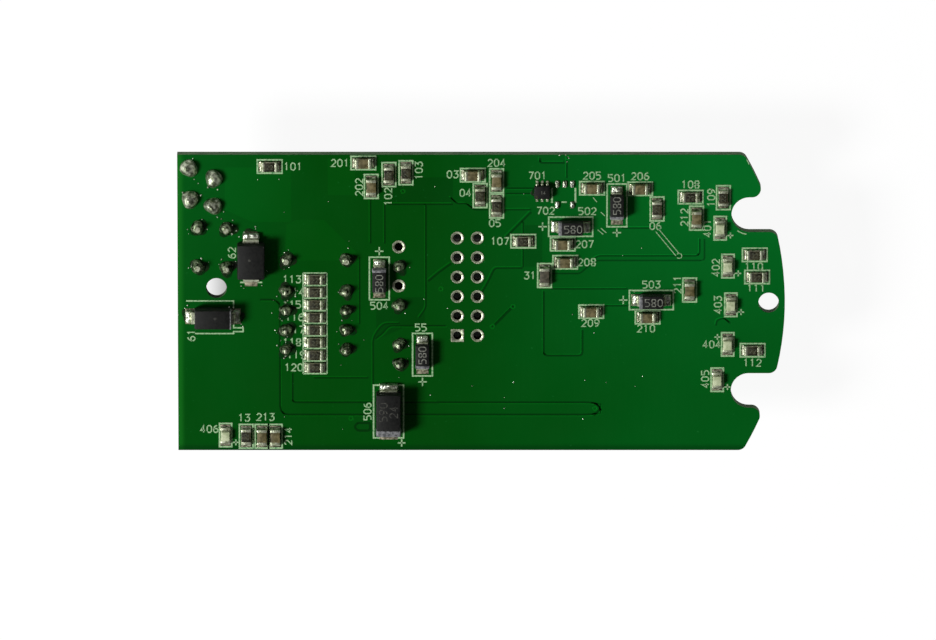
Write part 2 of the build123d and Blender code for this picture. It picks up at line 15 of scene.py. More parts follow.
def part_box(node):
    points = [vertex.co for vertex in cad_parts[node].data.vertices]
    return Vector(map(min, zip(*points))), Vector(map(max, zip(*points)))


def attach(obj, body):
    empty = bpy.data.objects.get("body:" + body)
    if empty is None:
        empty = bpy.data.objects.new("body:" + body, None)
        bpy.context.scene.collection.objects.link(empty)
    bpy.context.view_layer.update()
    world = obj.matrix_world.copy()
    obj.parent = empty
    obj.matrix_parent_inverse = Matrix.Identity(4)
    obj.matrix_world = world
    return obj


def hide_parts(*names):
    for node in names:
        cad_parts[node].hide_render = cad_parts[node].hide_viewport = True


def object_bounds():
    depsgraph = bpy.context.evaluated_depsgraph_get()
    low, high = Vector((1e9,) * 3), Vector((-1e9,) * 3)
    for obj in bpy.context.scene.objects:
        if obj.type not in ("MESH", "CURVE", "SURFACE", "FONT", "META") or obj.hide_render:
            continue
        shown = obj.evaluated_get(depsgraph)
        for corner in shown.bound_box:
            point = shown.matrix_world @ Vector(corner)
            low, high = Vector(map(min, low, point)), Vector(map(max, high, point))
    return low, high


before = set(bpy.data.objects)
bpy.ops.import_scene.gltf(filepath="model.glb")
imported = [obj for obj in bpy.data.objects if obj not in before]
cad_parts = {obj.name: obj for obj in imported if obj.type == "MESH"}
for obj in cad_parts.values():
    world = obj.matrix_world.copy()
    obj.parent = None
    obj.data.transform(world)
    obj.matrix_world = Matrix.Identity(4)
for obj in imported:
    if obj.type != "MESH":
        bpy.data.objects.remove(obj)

random.seed(11)
cad_low, cad_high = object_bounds()
BOARD_LOW, BOARD_HIGH = [1000 * Vector(corner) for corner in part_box("board")]
print("board, mm:", [round(side, 2) for side in BOARD_HIGH - BOARD_LOW], "nodes:", len(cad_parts))

# %% [markdown]
# ## A socket that can do sums
# Shader maths is easier to read as a formula than as a string of nodes. A small class wraps a
# socket, and each operator adds the Math node that works it out. A second class holds one finish:
# every other kind of node comes from its one method, which sets the node up before it is wired.

# %% Values that vary over a surface
class Field:
    """A shader value; adding, multiplying or comparing it adds a Math node."""

    def __init__(self, finish, socket):
        self.finish, self.socket = finish, socket

    def sum(self, operation, first, second=0.0):
        return self.finish.node("Math", {"operation": operation}, {0: first, 1: second})

    def __add__(self, other):
        return self.sum("ADD", self, other)

    def __sub__(self, other):
        return self.sum("SUBTRACT", self, other)

    def __rsub__(self, other):
        return self.sum("SUBTRACT", other, self)

    def __mul__(self, other):
        return self.sum("MULTIPLY", self, other)

    def __gt__(self, other):
        return self.sum("GREATER_THAN", self, other)

    def __abs__(self):
        return self.sum("ABSOLUTE", self)

    __radd__, __rmul__ = __add__, __mul__


class Finish:
    """One material, or the sky: its surface shader, and the nodes that feed it."""

    def __init__(self, name, holder=None, **constants):
        self.material = holder or bpy.data.materials.new(name)
        self.material.use_nodes = True
        self.tree = self.material.node_tree
        self.surface = self.tree.nodes["Background" if holder else "Principled BSDF"]
        self.set(**constants)

    def feed(self, place, value):
        if isinstance(value, Field):
            self.tree.links.new(value.socket, place)
        else:
            place.default_value = value

    def node(self, kind, settings=None, sockets=None, output=0):
        """Adds a node, sets it up, then fills its sockets with numbers or with other fields."""
        node = self.tree.nodes.new("ShaderNode" + kind)
        for setting, value in (settings or {}).items():
            setattr(node, setting, value)
        for socket, value in (sockets or {}).items():
            self.feed(node.inputs[socket], value)
        return Field(self, node.outputs[output])

    def set(self, **sockets):
        """Fills the surface's own sockets: Base_Color stands for Base Color, and so on."""
        for socket, value in sockets.items():
            self.feed(self.surface.inputs[socket.replace("_", " ")], value)
        return self

    def mix(self, share, first, second):
        """The first colour where share is 0, and the second where it is 1."""
        return self.node("Mix", {"data_type": "RGBA"}, {0: share, 6: first, 7: second}, 2)


def paint(red, green, blue):
    """A colour as a paint chart gives it, 0 to 255, turned into the light it sends back."""
    parts = [part / 255 for part in (red, green, blue)]
    return [part / 12.92 if part < 0.04 else ((part + 0.055) / 1.055) ** 2.4 for part in parts] + [1.0]


# %% [markdown]
# ## Patterns in millimetres
# Nothing on a real board is one flat colour. Noise in the part's own coordinates gives clouds,
# specks and lumps of a chosen size, and they stay in place however the board is turned.

# %% Clouds, steps and lumps
def clouds(finish, size, detail=2.0, stretch=(1, 1, 1)):
    """Soft noise between about 0.3 and 0.7; size is that of one cloud in millimetres."""
    place = finish.node("TexCoord", output=3)
    scaled = finish.node("Mapping", {}, {0: place, 3: [1000 / size * share for share in stretch]})
    return finish.node("TexNoise", {}, {0: scaled, "Scale": 1.0, "Detail": detail})


def step(finish, value, low, high):
    """0 below low, 1 above high and a smooth rise between them."""
    return finish.node("MapRange", {"interpolation_type": "SMOOTHSTEP"}, {0: value, 1: low, 2: high})


def lumps(finish, height, depth, strength=1.0):
    """Turns a field into relief; depth is in millimetres."""
    bump = finish.node("Bump", {}, {"Height": height, "Distance": depth / 1000, "Strength": strength})
    return finish.set(Normal=bump)


# %% [markdown]
# ## The board
# The board is glass cloth set in epoxy, with copper on it under a coat of glossy green ink. Its
# sawn edge shows the bare laminate. The measured board already has the right shape, so it keeps
# its mesh and gets a finish that asks which way the surface faces: up and down is mask, the sides
# are laminate. The mask is a little uneven, and the cloth shows through it as a faint weave. Its
# green also has painted sheen, paler towards the right, the top, the tail and the nose's upper
# corner, and a painted highlight along the tail's rim; the lower rim is darker.

# %% Solder mask and laminate
def mask_colour(finish, shade=1.0):
    """The mask's green, with painted sheen: deepest in the middle, paler at the tail, palest by the nose's
    upper corner.
    """
    across = finish.node("SeparateXYZ", {}, {0: finish.node("TexCoord", output=3)}, 0)
    up = finish.node("SeparateXYZ", {}, {0: finish.node("TexCoord", output=3)}, 1)
    right, top = step(finish, across, 0.022, 0.066), step(finish, up, -0.016, 0.016)
    left = 1 - step(finish, across, -0.004, 0.016)
    far = step(finish, across, 0.058, 0.070) * step(finish, up, 0.004, 0.018)
    # Painted sheen: the green is paler towards the right, the top and the tail, with a painted glare by the
    # nose's upper corner; the clouds add the ink's own random tone.
    sheen_and_tone = right * 0.4 + right * top * 0.55 + far * 0.3 + left * (0.1 + top * 0.2)
    sheen_and_tone = sheen_and_tone + (clouds(finish, 14, 3) - 0.5) * 0.25
    deep, pale = [paint(*[part * shade for part in green]) for green in ((0, 72, 8), (2, 108, 36))]
    green = finish.mix(sheen_and_tone, deep, pale)
    specks = step(finish, clouds(finish, 0.45, 3), 0.70, 0.76)
    green = finish.mix(specks * 0.3, green, paint(40, 130, 62))
    # The green is painted paler along the tail's rim, a painted highlight on the edge that faces the lamp,
    # and is darker along the lower rim
    tail, lower, inner, outer = BOARD_LOW.x / 1000, BOARD_LOW.y / 1000, 0.0010, 0.0002
    tail_rim = step(finish, across, tail + inner, tail + outer)
    lower_rim = step(finish, up, lower + inner, lower + outer)
    green = finish.mix(tail_rim * 0.6, green, paint(24, 116, 30))
    return finish.mix(lower_rim * 0.5, green, paint(0, 44, 10))


def mask_finish(name, shade):
    finish = Finish(name, Specular_IOR_Level=0.12)
    lumps(finish, clouds(finish, 0.7, 2), 0.01, 0.4)
    return finish.set(Base_Color=mask_colour(finish, shade), Roughness=0.26 + clouds(finish, 5, 2) * 0.12)


def board_finish():
    finish = Finish("solder_mask_on_laminate", Specular_IOR_Level=0.12)
    facing = finish.node("NewGeometry", output=1)
    upward = abs(finish.node("SeparateXYZ", {}, {0: facing}, 2)) > 0.5
    layers = step(finish, clouds(finish, 0.5, 2, (0.2, 0.2, 2.6)), 0.35, 0.65)
    laminate = finish.mix(layers, paint(40, 72, 40), paint(92, 116, 80))
    weave = clouds(finish, 0.7, 1, (1, 0.16, 1)) + clouds(finish, 0.7, 1, (0.16, 1, 1))
    lumps(finish, weave + layers * (1 - upward), 0.02, 0.35)
    gloss = 0.26 + clouds(finish, 5, 2) * 0.12 + (1 - upward) * 0.4
    return finish.set(Base_Color=finish.mix(upward, laminate, mask_colour(finish)), Roughness=gloss)


def refinish(node, finish):
    """Gives its finish to a measured piece that keeps its own mesh."""
    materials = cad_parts[node].data.materials
    materials.clear()
    materials.append(finish.material)


BOARD = board_finish()
# The lip's paler green is a painted highlight on the edge of the copper; the vias' rings use it too.
GROOVE, RIDGE = mask_finish("mask_over_gap", 0.72), mask_finish("mask_over_lip", 1.24)
RAISED, SUNKEN = mask_finish("mask_over_copper", 1.07), mask_finish("mask_over_laminate", 0.9)
refinish("board", BOARD)
print("board finish nodes:", len(BOARD.tree.nodes))

# %% [markdown]
# ## Metals and inks
# Solder that was melted by hand is lumpy and a little dull, and the tin on a chip's ends is
# brighter. Both are metals, so their colour is that of their reflection. The printed marks are a
# thick pale ink that has worn thin in places.

# %% Solder, tin and printing ink
def solder_finish(name, dark, light):
    finish = Finish(name, Metallic=1.0)
    grey = step(finish, clouds(finish, 0.45, 3), 0.36, 0.64)
    lumps(finish, clouds(finish, 0.5, 2) + clouds(finish, 0.16, 2) * 0.4, 0.16, 0.9)
    return finish.set(Base_Color=finish.mix(grey, paint(*dark), paint(*light)),
                      Roughness=0.24 + clouds(finish, 0.3, 2) * 0.32)


def tin_finish():
    finish = Finish("tinned_ends", Metallic=1.0)
    dull = step(finish, clouds(finish, 0.35, 3), 0.42, 0.68)
    lumps(finish, clouds(finish, 0.22, 2), 0.05, 0.6)
    return finish.set(Base_Color=finish.mix(dull, paint(228, 234, 206), paint(138, 146, 114)),
                      Roughness=0.42 + dull * 0.16)


def ink_finish():
    finish = Finish("printed_marks", Specular_IOR_Level=0.3)
    worn = step(finish, clouds(finish, 0.28, 3), 0.46, 0.72)
    return finish.set(Base_Color=finish.mix(worn, paint(158, 192, 146), paint(84, 142, 92)),
                      Roughness=0.5 + worn * 0.2)


# Three copies of one solder: the plain one; a darker, greener one for the joints of the leads; and a paler
# one, a painted highlight, for solder that is meant to look lit.
SOLDER = solder_finish("hand_melted_solder", (98, 106, 84), (206, 212, 188))
DARK_SOLDER = solder_finish("dark_green_solder", (34, 54, 26), (158, 172, 140))
LIT_SOLDER = solder_finish("solder_painted_lit", (150, 158, 134), (242, 246, 232))
TIN, INK = tin_finish(), ink_finish()

# %% [markdown]
# ## Ceramic, moulded plastic and lacquer
# The bodies differ mostly in grain and sheen. One recipe serves them all: two shades that a cloud
# mixes, a roughness that varies a little, and a fine relief.

# %% Bodies
def body_finish(name, dark, light, size, roughness, relief, **constants):
    finish = Finish(name, **constants)
    shade = step(finish, clouds(finish, size, 3), 0.33, 0.67)
    lumps(finish, clouds(finish, size / 2, 2), relief, 0.6)
    return finish.set(Base_Color=finish.mix(shade, paint(*dark), paint(*light)),
                      Roughness=roughness + shade * 0.12)


ALUMINA = body_finish("resistor_ceramic", (168, 160, 140), (196, 188, 168), 0.4, 0.55, 0.01)
GLAZE = body_finish("resistor_glaze", (26, 26, 16), (60, 58, 38), 0.4, 0.4, 0.01, Specular_IOR_Level=0.3)
TITANATE = body_finish("capacitor_ceramic", (74, 68, 38), (116, 106, 70), 0.5, 0.42, 0.02)
FERRITE = body_finish("ferrite_body", (54, 52, 40), (82, 76, 60), 0.4, 0.5, 0.02)
MOULDED = body_finish("moulded_case", (4, 5, 4), (13, 14, 11), 0.3, 0.5, 0.03, Specular_IOR_Level=0.3)
MARKING = body_finish("case_marking", (84, 86, 78), (134, 136, 124), 0.25, 0.5, 0.01)
CHIP_MARKING = body_finish("chip_marking", (50, 54, 40), (96, 100, 80), 0.2, 0.5, 0.01)
FAINT_MARKING = body_finish("faint_marking", (22, 24, 20), (62, 62, 54), 0.25, 0.5, 0.01)
END_BAND = body_finish("end_band", (70, 72, 74), (136, 136, 138), 0.35, 0.5, 0.03)
LENS = body_finish("lamp_lens", (166, 178, 138), (198, 206, 170), 0.6, 0.25, 0.01)
LAMP_BASE = body_finish("lamp_base", (138, 146, 112), (164, 172, 136), 0.5, 0.5, 0.01)
PAD_TIN = body_finish("dull_tin_pad", (84, 82, 62), (176, 170, 146), 0.4, 0.42, 0.05, Metallic=0.8)
# The barrel is painted dark brown to black, painted shade for the inside of a hole.
SHADED_BARREL = body_finish("barrel_painted_shade", (14, 16, 8), (62, 50, 34), 0.3, 0.6, 0.02, Metallic=0.5)
# Dark green drops round the joints: flux, and painted shade as well.
FLUX_AND_SHADE = body_finish("flux_and_painted_shade", (0, 50, 10), (16, 34, 8), 0.7, 0.2, 0.05)
FUSE_COAT = body_finish("fuse_lacquer", (168, 108, 20), (196, 134, 34), 1.6, 0.3, 0.06)
FILM_BOX = body_finish("film_box", (28, 58, 118), (40, 74, 142), 1.2, 0.38, 0.02)
POTTED_CASE = body_finish("potted_case", (18, 18, 20), (30, 30, 33), 0.5, 0.42, 0.03)
print("finishes:", len(bpy.data.materials))

# %% [markdown]
# ## Forms
# Small parts are mostly blocks with worn edges, bent strips of metal and turned lumps. Each form is
# a little mesh in millimetres. A Shape gathers forms, each with its own finish, into one piece.

# %% Blocks, bent strips, turned lumps and flat lines
def block(length, width, height, rounding, lean=0.0):
    """A block on z = 0 with rounded edges; its sides lean in by this much at the top."""
    form = bmesh.new()
    bmesh.ops.create_cube(form, size=2)
    for corner in form.verts:
        top = corner.co.z > 0
        inward = lean if top else 0.0
        corner.co = Vector((corner.co.x * (length / 2 - inward), corner.co.y * (width / 2 - inward),
                            height if top else 0.0))
    bmesh.ops.bevel(form, geom=form.edges[:], offset=rounding, segments=2, profile=0.6, affect="EDGES")
    return form


def bent(outline, width, rounding=0.03):
    """A strip of metal: an outline in X and Z, as wide as this along Y, with its edges taken off."""
    form = bmesh.new()
    side = form.faces.new([form.verts.new((x, -width / 2, z)) for x, z in outline])
    grown = bmesh.ops.extrude_face_region(form, geom=[side])["geom"]
    far_side = [part for part in grown if isinstance(part, bmesh.types.BMVert)]
    bmesh.ops.translate(form, vec=(0, width, 0), verts=far_side)
    bmesh.ops.recalc_face_normals(form, faces=form.faces[:])
    if rounding:
        bmesh.ops.bevel(form, geom=form.edges[:], offset=rounding, segments=1, affect="EDGES")
    return form


def turned(profile, sides=28, uneven=0.0):
    """Turns (radius, height) pairs round Z. Radius 0 is a point, and a minus one makes a square."""
    form = bmesh.new()
    lobes = [random.uniform(0, 6.3) for _ in range(3)]
    rings = []
    for radius, height in profile:
        ring = []
        for k in range(sides if radius else 1):
            turn = 2 * math.pi * k / sides
            waves = math.sin(2 * turn + lobes[0]) + math.sin(3 * turn + lobes[1] + 2 * height)
            square = max(abs(math.cos(turn)), abs(math.sin(turn)))
            reach = radius * (1 + uneven * waves / 2) if radius >= 0 else -radius / square
            lift = uneven * height * math.sin(turn + lobes[2]) * 0.6
            ring.append(form.verts.new((reach * math.cos(turn), reach * math.sin(turn), height + lift)))
        rings.append(ring)
    for lower, upper in zip(rings, rings[1:]):
        for k in range(sides):
            around = ((lower, k), (lower, k + 1), (upper, k + 1), (upper, k))
            corners = [ring[j % len(ring)] for ring, j in around]
            form.faces.new(list(dict.fromkeys(corners)))
    return form


def line(points, width, closed=False):
    """A flat line along some points, with mitred corners, that faces up."""
    form = bmesh.new()
    points = [Vector((x, y, 0)) for x, y in points]
    last = len(points) - 1
    sides = []
    for k, point in enumerate(points):
        into = point - points[k - 1] if k or closed else points[1] - point
        away = points[(k + 1) % (last + 1)] - point if k < last or closed else into
        left, left_away = [Vector((-way.y, way.x, 0)).normalized() for way in (into, away)]
        mitre = (left + left_away).normalized()
        reach = mitre * width / 2 / max(mitre.dot(left), 0.5)
        sides.append((form.verts.new(point + reach), form.verts.new(point - reach)))
    for k in range(last + 1 if closed else last):
        (a, b), (c, d) = sides[k], sides[(k + 1) % (last + 1)]
        form.faces.new((a, b, d, c))
    return form


# %% A shape made of forms
class Shape:
    """Forms gathered into one mesh, in millimetres."""

    def __init__(self):
        self.mesh, self.finishes = bmesh.new(), []

    def add(self, form, finish, place=Matrix()):
        if finish not in self.finishes:
            self.finishes.append(finish)
        for face in form.faces:
            face.material_index = self.finishes.index(finish)
        form.transform(place)
        carrier = bpy.data.meshes.new("form")
        form.to_mesh(carrier)
        form.free()
        self.mesh.from_mesh(carrier)
        bpy.data.meshes.remove(carrier)

    def make(self, name, slot, *nodes, sharp=40):
        """Turns the shape into a piece of the board that stands for these measured nodes."""
        mesh = bpy.data.meshes.new(name)
        bmesh.ops.scale(self.mesh, vec=(0.001,) * 3, verts=self.mesh.verts)
        self.mesh.to_mesh(mesh)
        self.mesh.free()
        for finish in self.finishes:
            mesh.materials.append(finish.material)
        mesh.polygons.foreach_set("use_smooth", [True] * len(mesh.polygons))
        mesh.set_sharp_from_angle(angle=math.radians(sharp))
        piece = bpy.data.objects.new(name, mesh)
        bpy.context.collection.objects.link(piece)
        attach(piece, "root")
        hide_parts(*nodes)


def at(x, y, z=0.0, turn=0.0):
    """A place in millimetres, with a turn in degrees about the upright."""
    return Matrix.Translation((x, y, z)) @ Matrix.Rotation(math.radians(turn), 4, "Z")


# %% [markdown]
# ## Where things are
# A node's box gives the middle and the size of a single part. A node that holds a whole family,
# such as all the solder joints, is first split into its separate solids.

# %% Boxes in millimetres
class Seat:
    """Where a measured part sits: its middle, its size, and the turn that lays its length along X."""

    def __init__(self, low, high):
        self.low, self.high = 1000 * Vector(low), 1000 * Vector(high)
        self.middle, self.size = (self.low + self.high) / 2, self.high - self.low
        self.turn = 90.0 if self.size.y > self.size.x else 0.0
        self.length, self.width = max(self.size.xy), min(self.size.xy)

    def place(self, z=0.0, turn=None):
        """The middle of the part at this height, turned as the part is unless a turn is given."""
        return at(self.middle.x, self.middle.y, z, self.turn if turn is None else turn)


def seat(node):
    return Seat(*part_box(node))


def seats(node):
    """The seats of the separate solids of a node, in an order that can change from run to run."""
    form = bmesh.new()
    form.from_mesh(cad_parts[node].data)
    bmesh.ops.remove_doubles(form, verts=form.verts, dist=1e-6)
    found, loose = [], set(form.verts)
    while loose:
        queue, island = [loose.pop()], []
        while queue:
            vertex = queue.pop()
            island.append(vertex.co.copy())
            near = [edge.other_vert(vertex) for edge in vertex.link_edges]
            near = [other for other in near if other in loose]
            loose.difference_update(near)
            queue.extend(near)
        ends = [Vector([choose(co[k] for co in island) for k in range(3)]) for choose in (min, max)]
        found.append(Seat(*ends))
    form.free()
    return found


def beneath(part, turn=0.0):
    """A place on the underside, where up is down."""
    return at(part.middle.x, part.middle.y, BOARD_LOW.z, turn) @ Matrix.Rotation(math.pi, 4, "X")


RESISTORS = [f"chip_resistor_{k}" for k in range(1, 14)]
CAPACITORS = [f"chip_capacitor_{k}" for k in range(1, 15)]
LAMPS = [f"indicator_led_{k}" for k in range(1, 7)]
TANTALUMS = [f"small_tantalum_{k}" for k in range(1, 6)] + ["large_tantalum"]
LADDER = sorted(seats("resistor_ladder"), key=lambda rung: rung.middle.y)
UPPER_JOINTS = seats("pin_joints")
print("rungs:", len(LADDER), "joints:", len(UPPER_JOINTS))

# %% [markdown]
# ## Numbers
# Marks on cases and on the board are drawn as strokes, as a plotter pen would, so that they need
# no font. They are plain numbers that mean nothing, and the one sign is a plus.

# %% A pen for digits
STROKES = {
    "0": [[(0, 2), (0, 8), (2, 10), (4, 10), (6, 8), (6, 2), (4, 0), (2, 0), (0, 2)]],
    "1": [[(1, 8), (3, 10), (3, 0)]],
    "2": [[(0, 8), (2, 10), (4, 10), (6, 8), (6, 6), (0, 0), (6, 0)]],
    "3": [[(0, 10), (6, 10), (3, 6), (5, 6), (6, 4), (6, 2), (4, 0), (1, 0), (0, 2)]],
    "4": [[(4, 0), (4, 10), (0, 3), (6, 3)]],
    "5": [[(6, 10), (0, 10), (0, 6), (4, 6), (6, 4), (6, 2), (4, 0), (0, 0)]],
    "6": [[(5, 10), (2, 9), (0, 5), (0, 2), (2, 0), (4, 0), (6, 2), (6, 4), (4, 6), (0, 5)]],
    "7": [[(0, 10), (6, 10), (2, 0)]],
    "8": [[(3, 5), (0, 7), (1, 10), (5, 10), (6, 7), (0, 3), (1, 0), (5, 0), (6, 3), (3, 5)]],
    "9": [[(1, 0), (4, 1), (6, 5), (6, 8), (4, 10), (2, 10), (0, 8), (0, 6), (2, 4), (6, 5)]],
    "+": [[(3, 1), (3, 9)], [(-1, 5), (7, 5)]],
}


def write(shape, text, height, place, finish, pen=0.15):
    """Writes digits centred on a place; the pen is a share of the height."""
    scale = height / 10
    across = (9 * len(text) - 3) * scale
    for k, digit in enumerate(text):
        for stroke in STROKES[digit]:
            points = [((x + 9 * k) * scale - across / 2, (y - 5) * scale) for x, y in stroke]
            shape.add(line(points, pen * height), finish, place)


# %% [markdown]
# ## Chips
# A chip is a bar of ceramic with a metal cap on each end. The resistor's bar is white, under a dark
# glaze that seals its film, and the capacitor's is a tan block. Small rounded blocks do for both:
# what tells them apart at this size is the height, the colour and the bright caps.

# %% Resistors, capacitors and the ferrite bead
CAP_LENGTH = 0.38


def end_caps(shape, spot, height, place):
    for side in (-1, 1):
        cap = block(CAP_LENGTH, spot.width, height, 0.07)
        shape.add(cap, TIN, place @ at(side * (spot.length - CAP_LENGTH) / 2, 0))


def resistor(shape, spot):
    place, height = spot.place(), spot.size.z
    end_caps(shape, spot, height, place)
    bar = block(spot.length - CAP_LENGTH, spot.width - 0.08, height - 0.06, 0.04)
    shape.add(bar, ALUMINA, place @ at(0, 0, 0.02))
    glaze = block(spot.length - 2 * CAP_LENGTH + 0.1, spot.width - 0.12, 0.05, 0.02)
    shape.add(glaze, GLAZE, place @ at(0, 0, height - 0.06))
    write(shape, "22", 0.52, place @ at(0, 0, height - 0.008), CHIP_MARKING, 0.12)


def ceramic_block(shape, spot, finish):
    place, height = spot.place(), spot.size.z
    end_caps(shape, spot, height, place)
    body = block(spot.length - CAP_LENGTH, spot.width - 0.06, height - 0.04, 0.06)
    shape.add(body, finish, place @ at(0, 0, 0.01))


for node in RESISTORS:
    shape = Shape()
    resistor(shape, seat(node))
    shape.make("dressed_" + node, "resistor", node)
for node in CAPACITORS:
    shape = Shape()
    ceramic_block(shape, seat(node), TITANATE)
    shape.make("dressed_" + node, "capacitor", node)
shape = Shape()
for rung in LADDER:
    resistor(shape, rung)
shape.make("dressed_resistor_ladder", "resistor", "resistor_ladder")
shape = Shape()
ceramic_block(shape, seat("ferrite_bead"), FERRITE)
shape.make("dressed_ferrite_bead", "ferrite", "ferrite_bead")
print("chips:", len(RESISTORS) + len(CAPACITORS) + len(LADDER) + 1)

# %% [markdown]
# ## Lamps
# A chip lamp is a scrap of laminate with plated ends, and a block of clear resin over the die. The
# resin over the pale base looks cream.

# %% Indicator lamps
BASE_HEIGHT = 0.32
for node in LAMPS:
    spot, shape = seat(node), Shape()
    place = spot.place()
    shape.add(block(spot.length - 0.1, spot.width - 0.06, BASE_HEIGHT, 0.03), LAMP_BASE, place)
    end_caps(shape, spot, 0.35, place)
    lens = block(1.3, spot.width - 0.1, spot.size.z - BASE_HEIGHT, 0.08, 0.08)
    shape.add(lens, LENS, place @ at(0, 0, BASE_HEIGHT))
    shape.make("dressed_" + node, "lamp", node)
print("lamps:", len(LAMPS))

# %% [markdown]
# ## Moulded two-lead parts
# Tantalum capacitors and power diodes are moulded in two halves round flat leads. The halves lean
# in from the seam, so the case comes out of its mould, and the leads bend down the ends and under.
# A band on the case shows the polarity.

# %% Tantalum capacitors and diodes
def moulded_part(node, lead_width, lead_reach, heading, rows=(), band=0.19, marking=MARKING):
    """heading is where the marked end points, in degrees. A case with no numbers has a mould mark."""
    spot, shape = seat(node), Shape()
    place = spot.place(turn=heading)
    length, width, height = spot.length - 2 * lead_reach, spot.width, spot.size.z - 0.01
    seam, lean = height * 0.5, height * 0.05
    shape.add(block(length, width, height - seam, 0.09, lean), MOULDED, place @ at(0, 0, seam))
    shape.add(block(length, width, seam - 0.1, 0.05, lean), MOULDED,
              place @ at(0, 0, seam) @ Matrix.Rotation(math.pi, 4, "X"))
    root, out = length / 2 - 0.3, spot.length / 2
    lead = [(root, seam + 0.07), (out, seam + 0.07), (out, 0), (out - 0.8, 0), (out - 0.8, 0.12),
            (out - 0.14, 0.12), (out - 0.14, seam - 0.07), (root, seam - 0.07)]
    for side in (0, 180):
        shape.add(bent(lead, lead_width), TIN, place @ at(0, 0, 0, side))
    top, covered = height + 0.006, band * length
    if band:
        stripe = block(covered, width + 0.012, height - seam + 0.004, 0.09, lean)
        shape.add(stripe, END_BAND, place @ at(length / 2 - covered / 2 + 0.006, 0, seam))
    turn, row_height = at(0, 0, 0, heading % 180 - heading), 0.5 * width / (len(rows) or 1) ** 0.7
    for k, row in enumerate(rows):
        line_up = at(0, ((len(rows) - 1) / 2 - k) * row_height * 1.35)
        write(shape, row, row_height, place @ at(-covered / 2, 0, top) @ turn @ line_up, marking, 0.13)
    if not rows:
        mould_mark = turned([(0.24, 0), (0.18, 0.008), (0, 0.01)], 16)
        shape.add(mould_mark, marking, place @ at(0.3, 0.2, height - 0.008))
    shape.make("dressed_" + node, "tantalum" if "tantalum" in node else "diode", node)


TANTALUM_HEADINGS = [-90, 180, 180, 90, -90, -90]
for node, heading in zip(TANTALUMS[:-1], TANTALUM_HEADINGS):
    moulded_part(node, 1.3, 0.18, heading, ["580"])
moulded_part("large_tantalum", 2.2, 0.18, -90, ["590", "24"], marking=FAINT_MARKING)
moulded_part("surge_diode", 1.5, 0.4, 0, band=0.06, marking=FAINT_MARKING)
moulded_part("supply_diode", 2.0, 0.4, 90, band=0, marking=FAINT_MARKING)
print("moulded parts:", len(TANTALUMS) + 2)

# %% [markdown]
# ## Solder
# Where a chip meets the board the solder climbs its end in a hollow curve. Joints of leads that come
# through the board were made by hand with plenty of solder: low domes with a dented skin, all a
# little different. Each dome is a turned profile whose rings are pushed out of round by a few waves.

# %% Fillets at the chips' ends
def fillet(reach, rise, width):
    curve = [(reach * (1 - math.sin(t)), rise * (1 - math.cos(t))) for t in (0, 0.35, 0.7, 1.1, math.pi / 2)]
    return bent([(0, 0)] + curve, width, 0)


OWNERS = [seat(node) for node in RESISTORS + CAPACITORS + LAMPS + TANTALUMS]
OWNERS += [seat(node) for node in ("ferrite_bead", "surge_diode", "supply_diode")] + LADDER
shape = Shape()
for wedge in seats("chip_solder"):
    owner = min(OWNERS, key=lambda part: (part.middle - wedge.middle).xy.length)
    out = wedge.middle - owner.middle
    heading = 90 * round(math.degrees(math.atan2(out.y, out.x)) / 90)
    place = at(wedge.middle.x, wedge.middle.y, 0, heading) @ at(-wedge.width / 2, 0)
    if owner.size.z < 1.2 or heading == -90:
        shape.add(fillet(wedge.width * random.uniform(0.8, 1), wedge.size.z, wedge.length), SOLDER, place)
    else:
        # At the end of a tall part the solder is a heap in the paler copy, a painted highlight.
        heap = block(1.0, wedge.length + 0.25, 0.75 * wedge.size.z, 0.24, 0.12)
        shape.add(heap, LIT_SOLDER, place @ at(random.uniform(0.22, 0.3), random.uniform(-0.06, 0.06)))
shape.make("dressed_chip_solder", "solder", "chip_solder")

# %% Joints of the leads and of the cable's wires
def dome(radius, height):
    profile = [(1, 0), (0.99, 0.06), (0.95, 0.2), (0.84, 0.47),
               (0.66, 0.73), (0.42, 0.92), (0.18, 0.99), (0, 1)]
    return turned([(radius * r, height * z) for r, z in profile], 24, 0.13)


shape = Shape()
for joint in UPPER_JOINTS:
    share = random.uniform(0.95, 1.05) if joint.middle.x < 2 else random.uniform(0.85, 0.97)
    lump = dome(joint.length / 2 * share, joint.size.z * share)
    # The joints of the leads use the darker, greener copy of the solder.
    shape.add(lump, DARK_SOLDER, joint.place(turn=0))
shape.make("dressed_pin_joints", "solder", "pin_joints")
shape = Shape()
WIRE_JOINTS = seats("wire_joints")
for joint in WIRE_JOINTS:
    shape.add(dome(joint.length / 2 * 0.95, joint.high.z), SOLDER, joint.place(turn=0))
    shape.add(dome(joint.length / 2 * 0.9, BOARD_LOW.z - joint.low.z), SOLDER, beneath(joint))
shape.make("dressed_wire_joints", "solder", "wire_joints")
print("hand-made joints:", len(UPPER_JOINTS) + len(WIRE_JOINTS))

# %% [markdown]
# ## Plated holes and bare pads
# A plated hole is a tiny eyelet: a ring on each face, joined by a barrel through the board. The first
# hole of the header has a square ring. The pads of a chip that was never fitted are domes of tin.

# %% Eyelets
BORE_RADIUS = 0.53


def eyelet(shape, pad, square):
    edge, bore = -pad.length / 2 if square else 0.93 * pad.length / 2, BORE_RADIUS
    top, bottom, place = pad.high.z, BOARD_LOW.z - pad.size.z, pad.place(turn=0)
    for face, under in ((top, top - pad.size.z), (bottom, bottom + pad.size.z)):
        ring = [(edge, under), (edge, face), (edge * 0.94, face), (bore + 0.05, face), (bore, under)]
        shape.add(turned(ring, 32), TIN, place)
    # The barrel is painted dark, painted shade inside the hole.
    shape.add(turned([(bore, top - 0.05), (bore, bottom + 0.05)], 32), SHADED_BARREL, place)


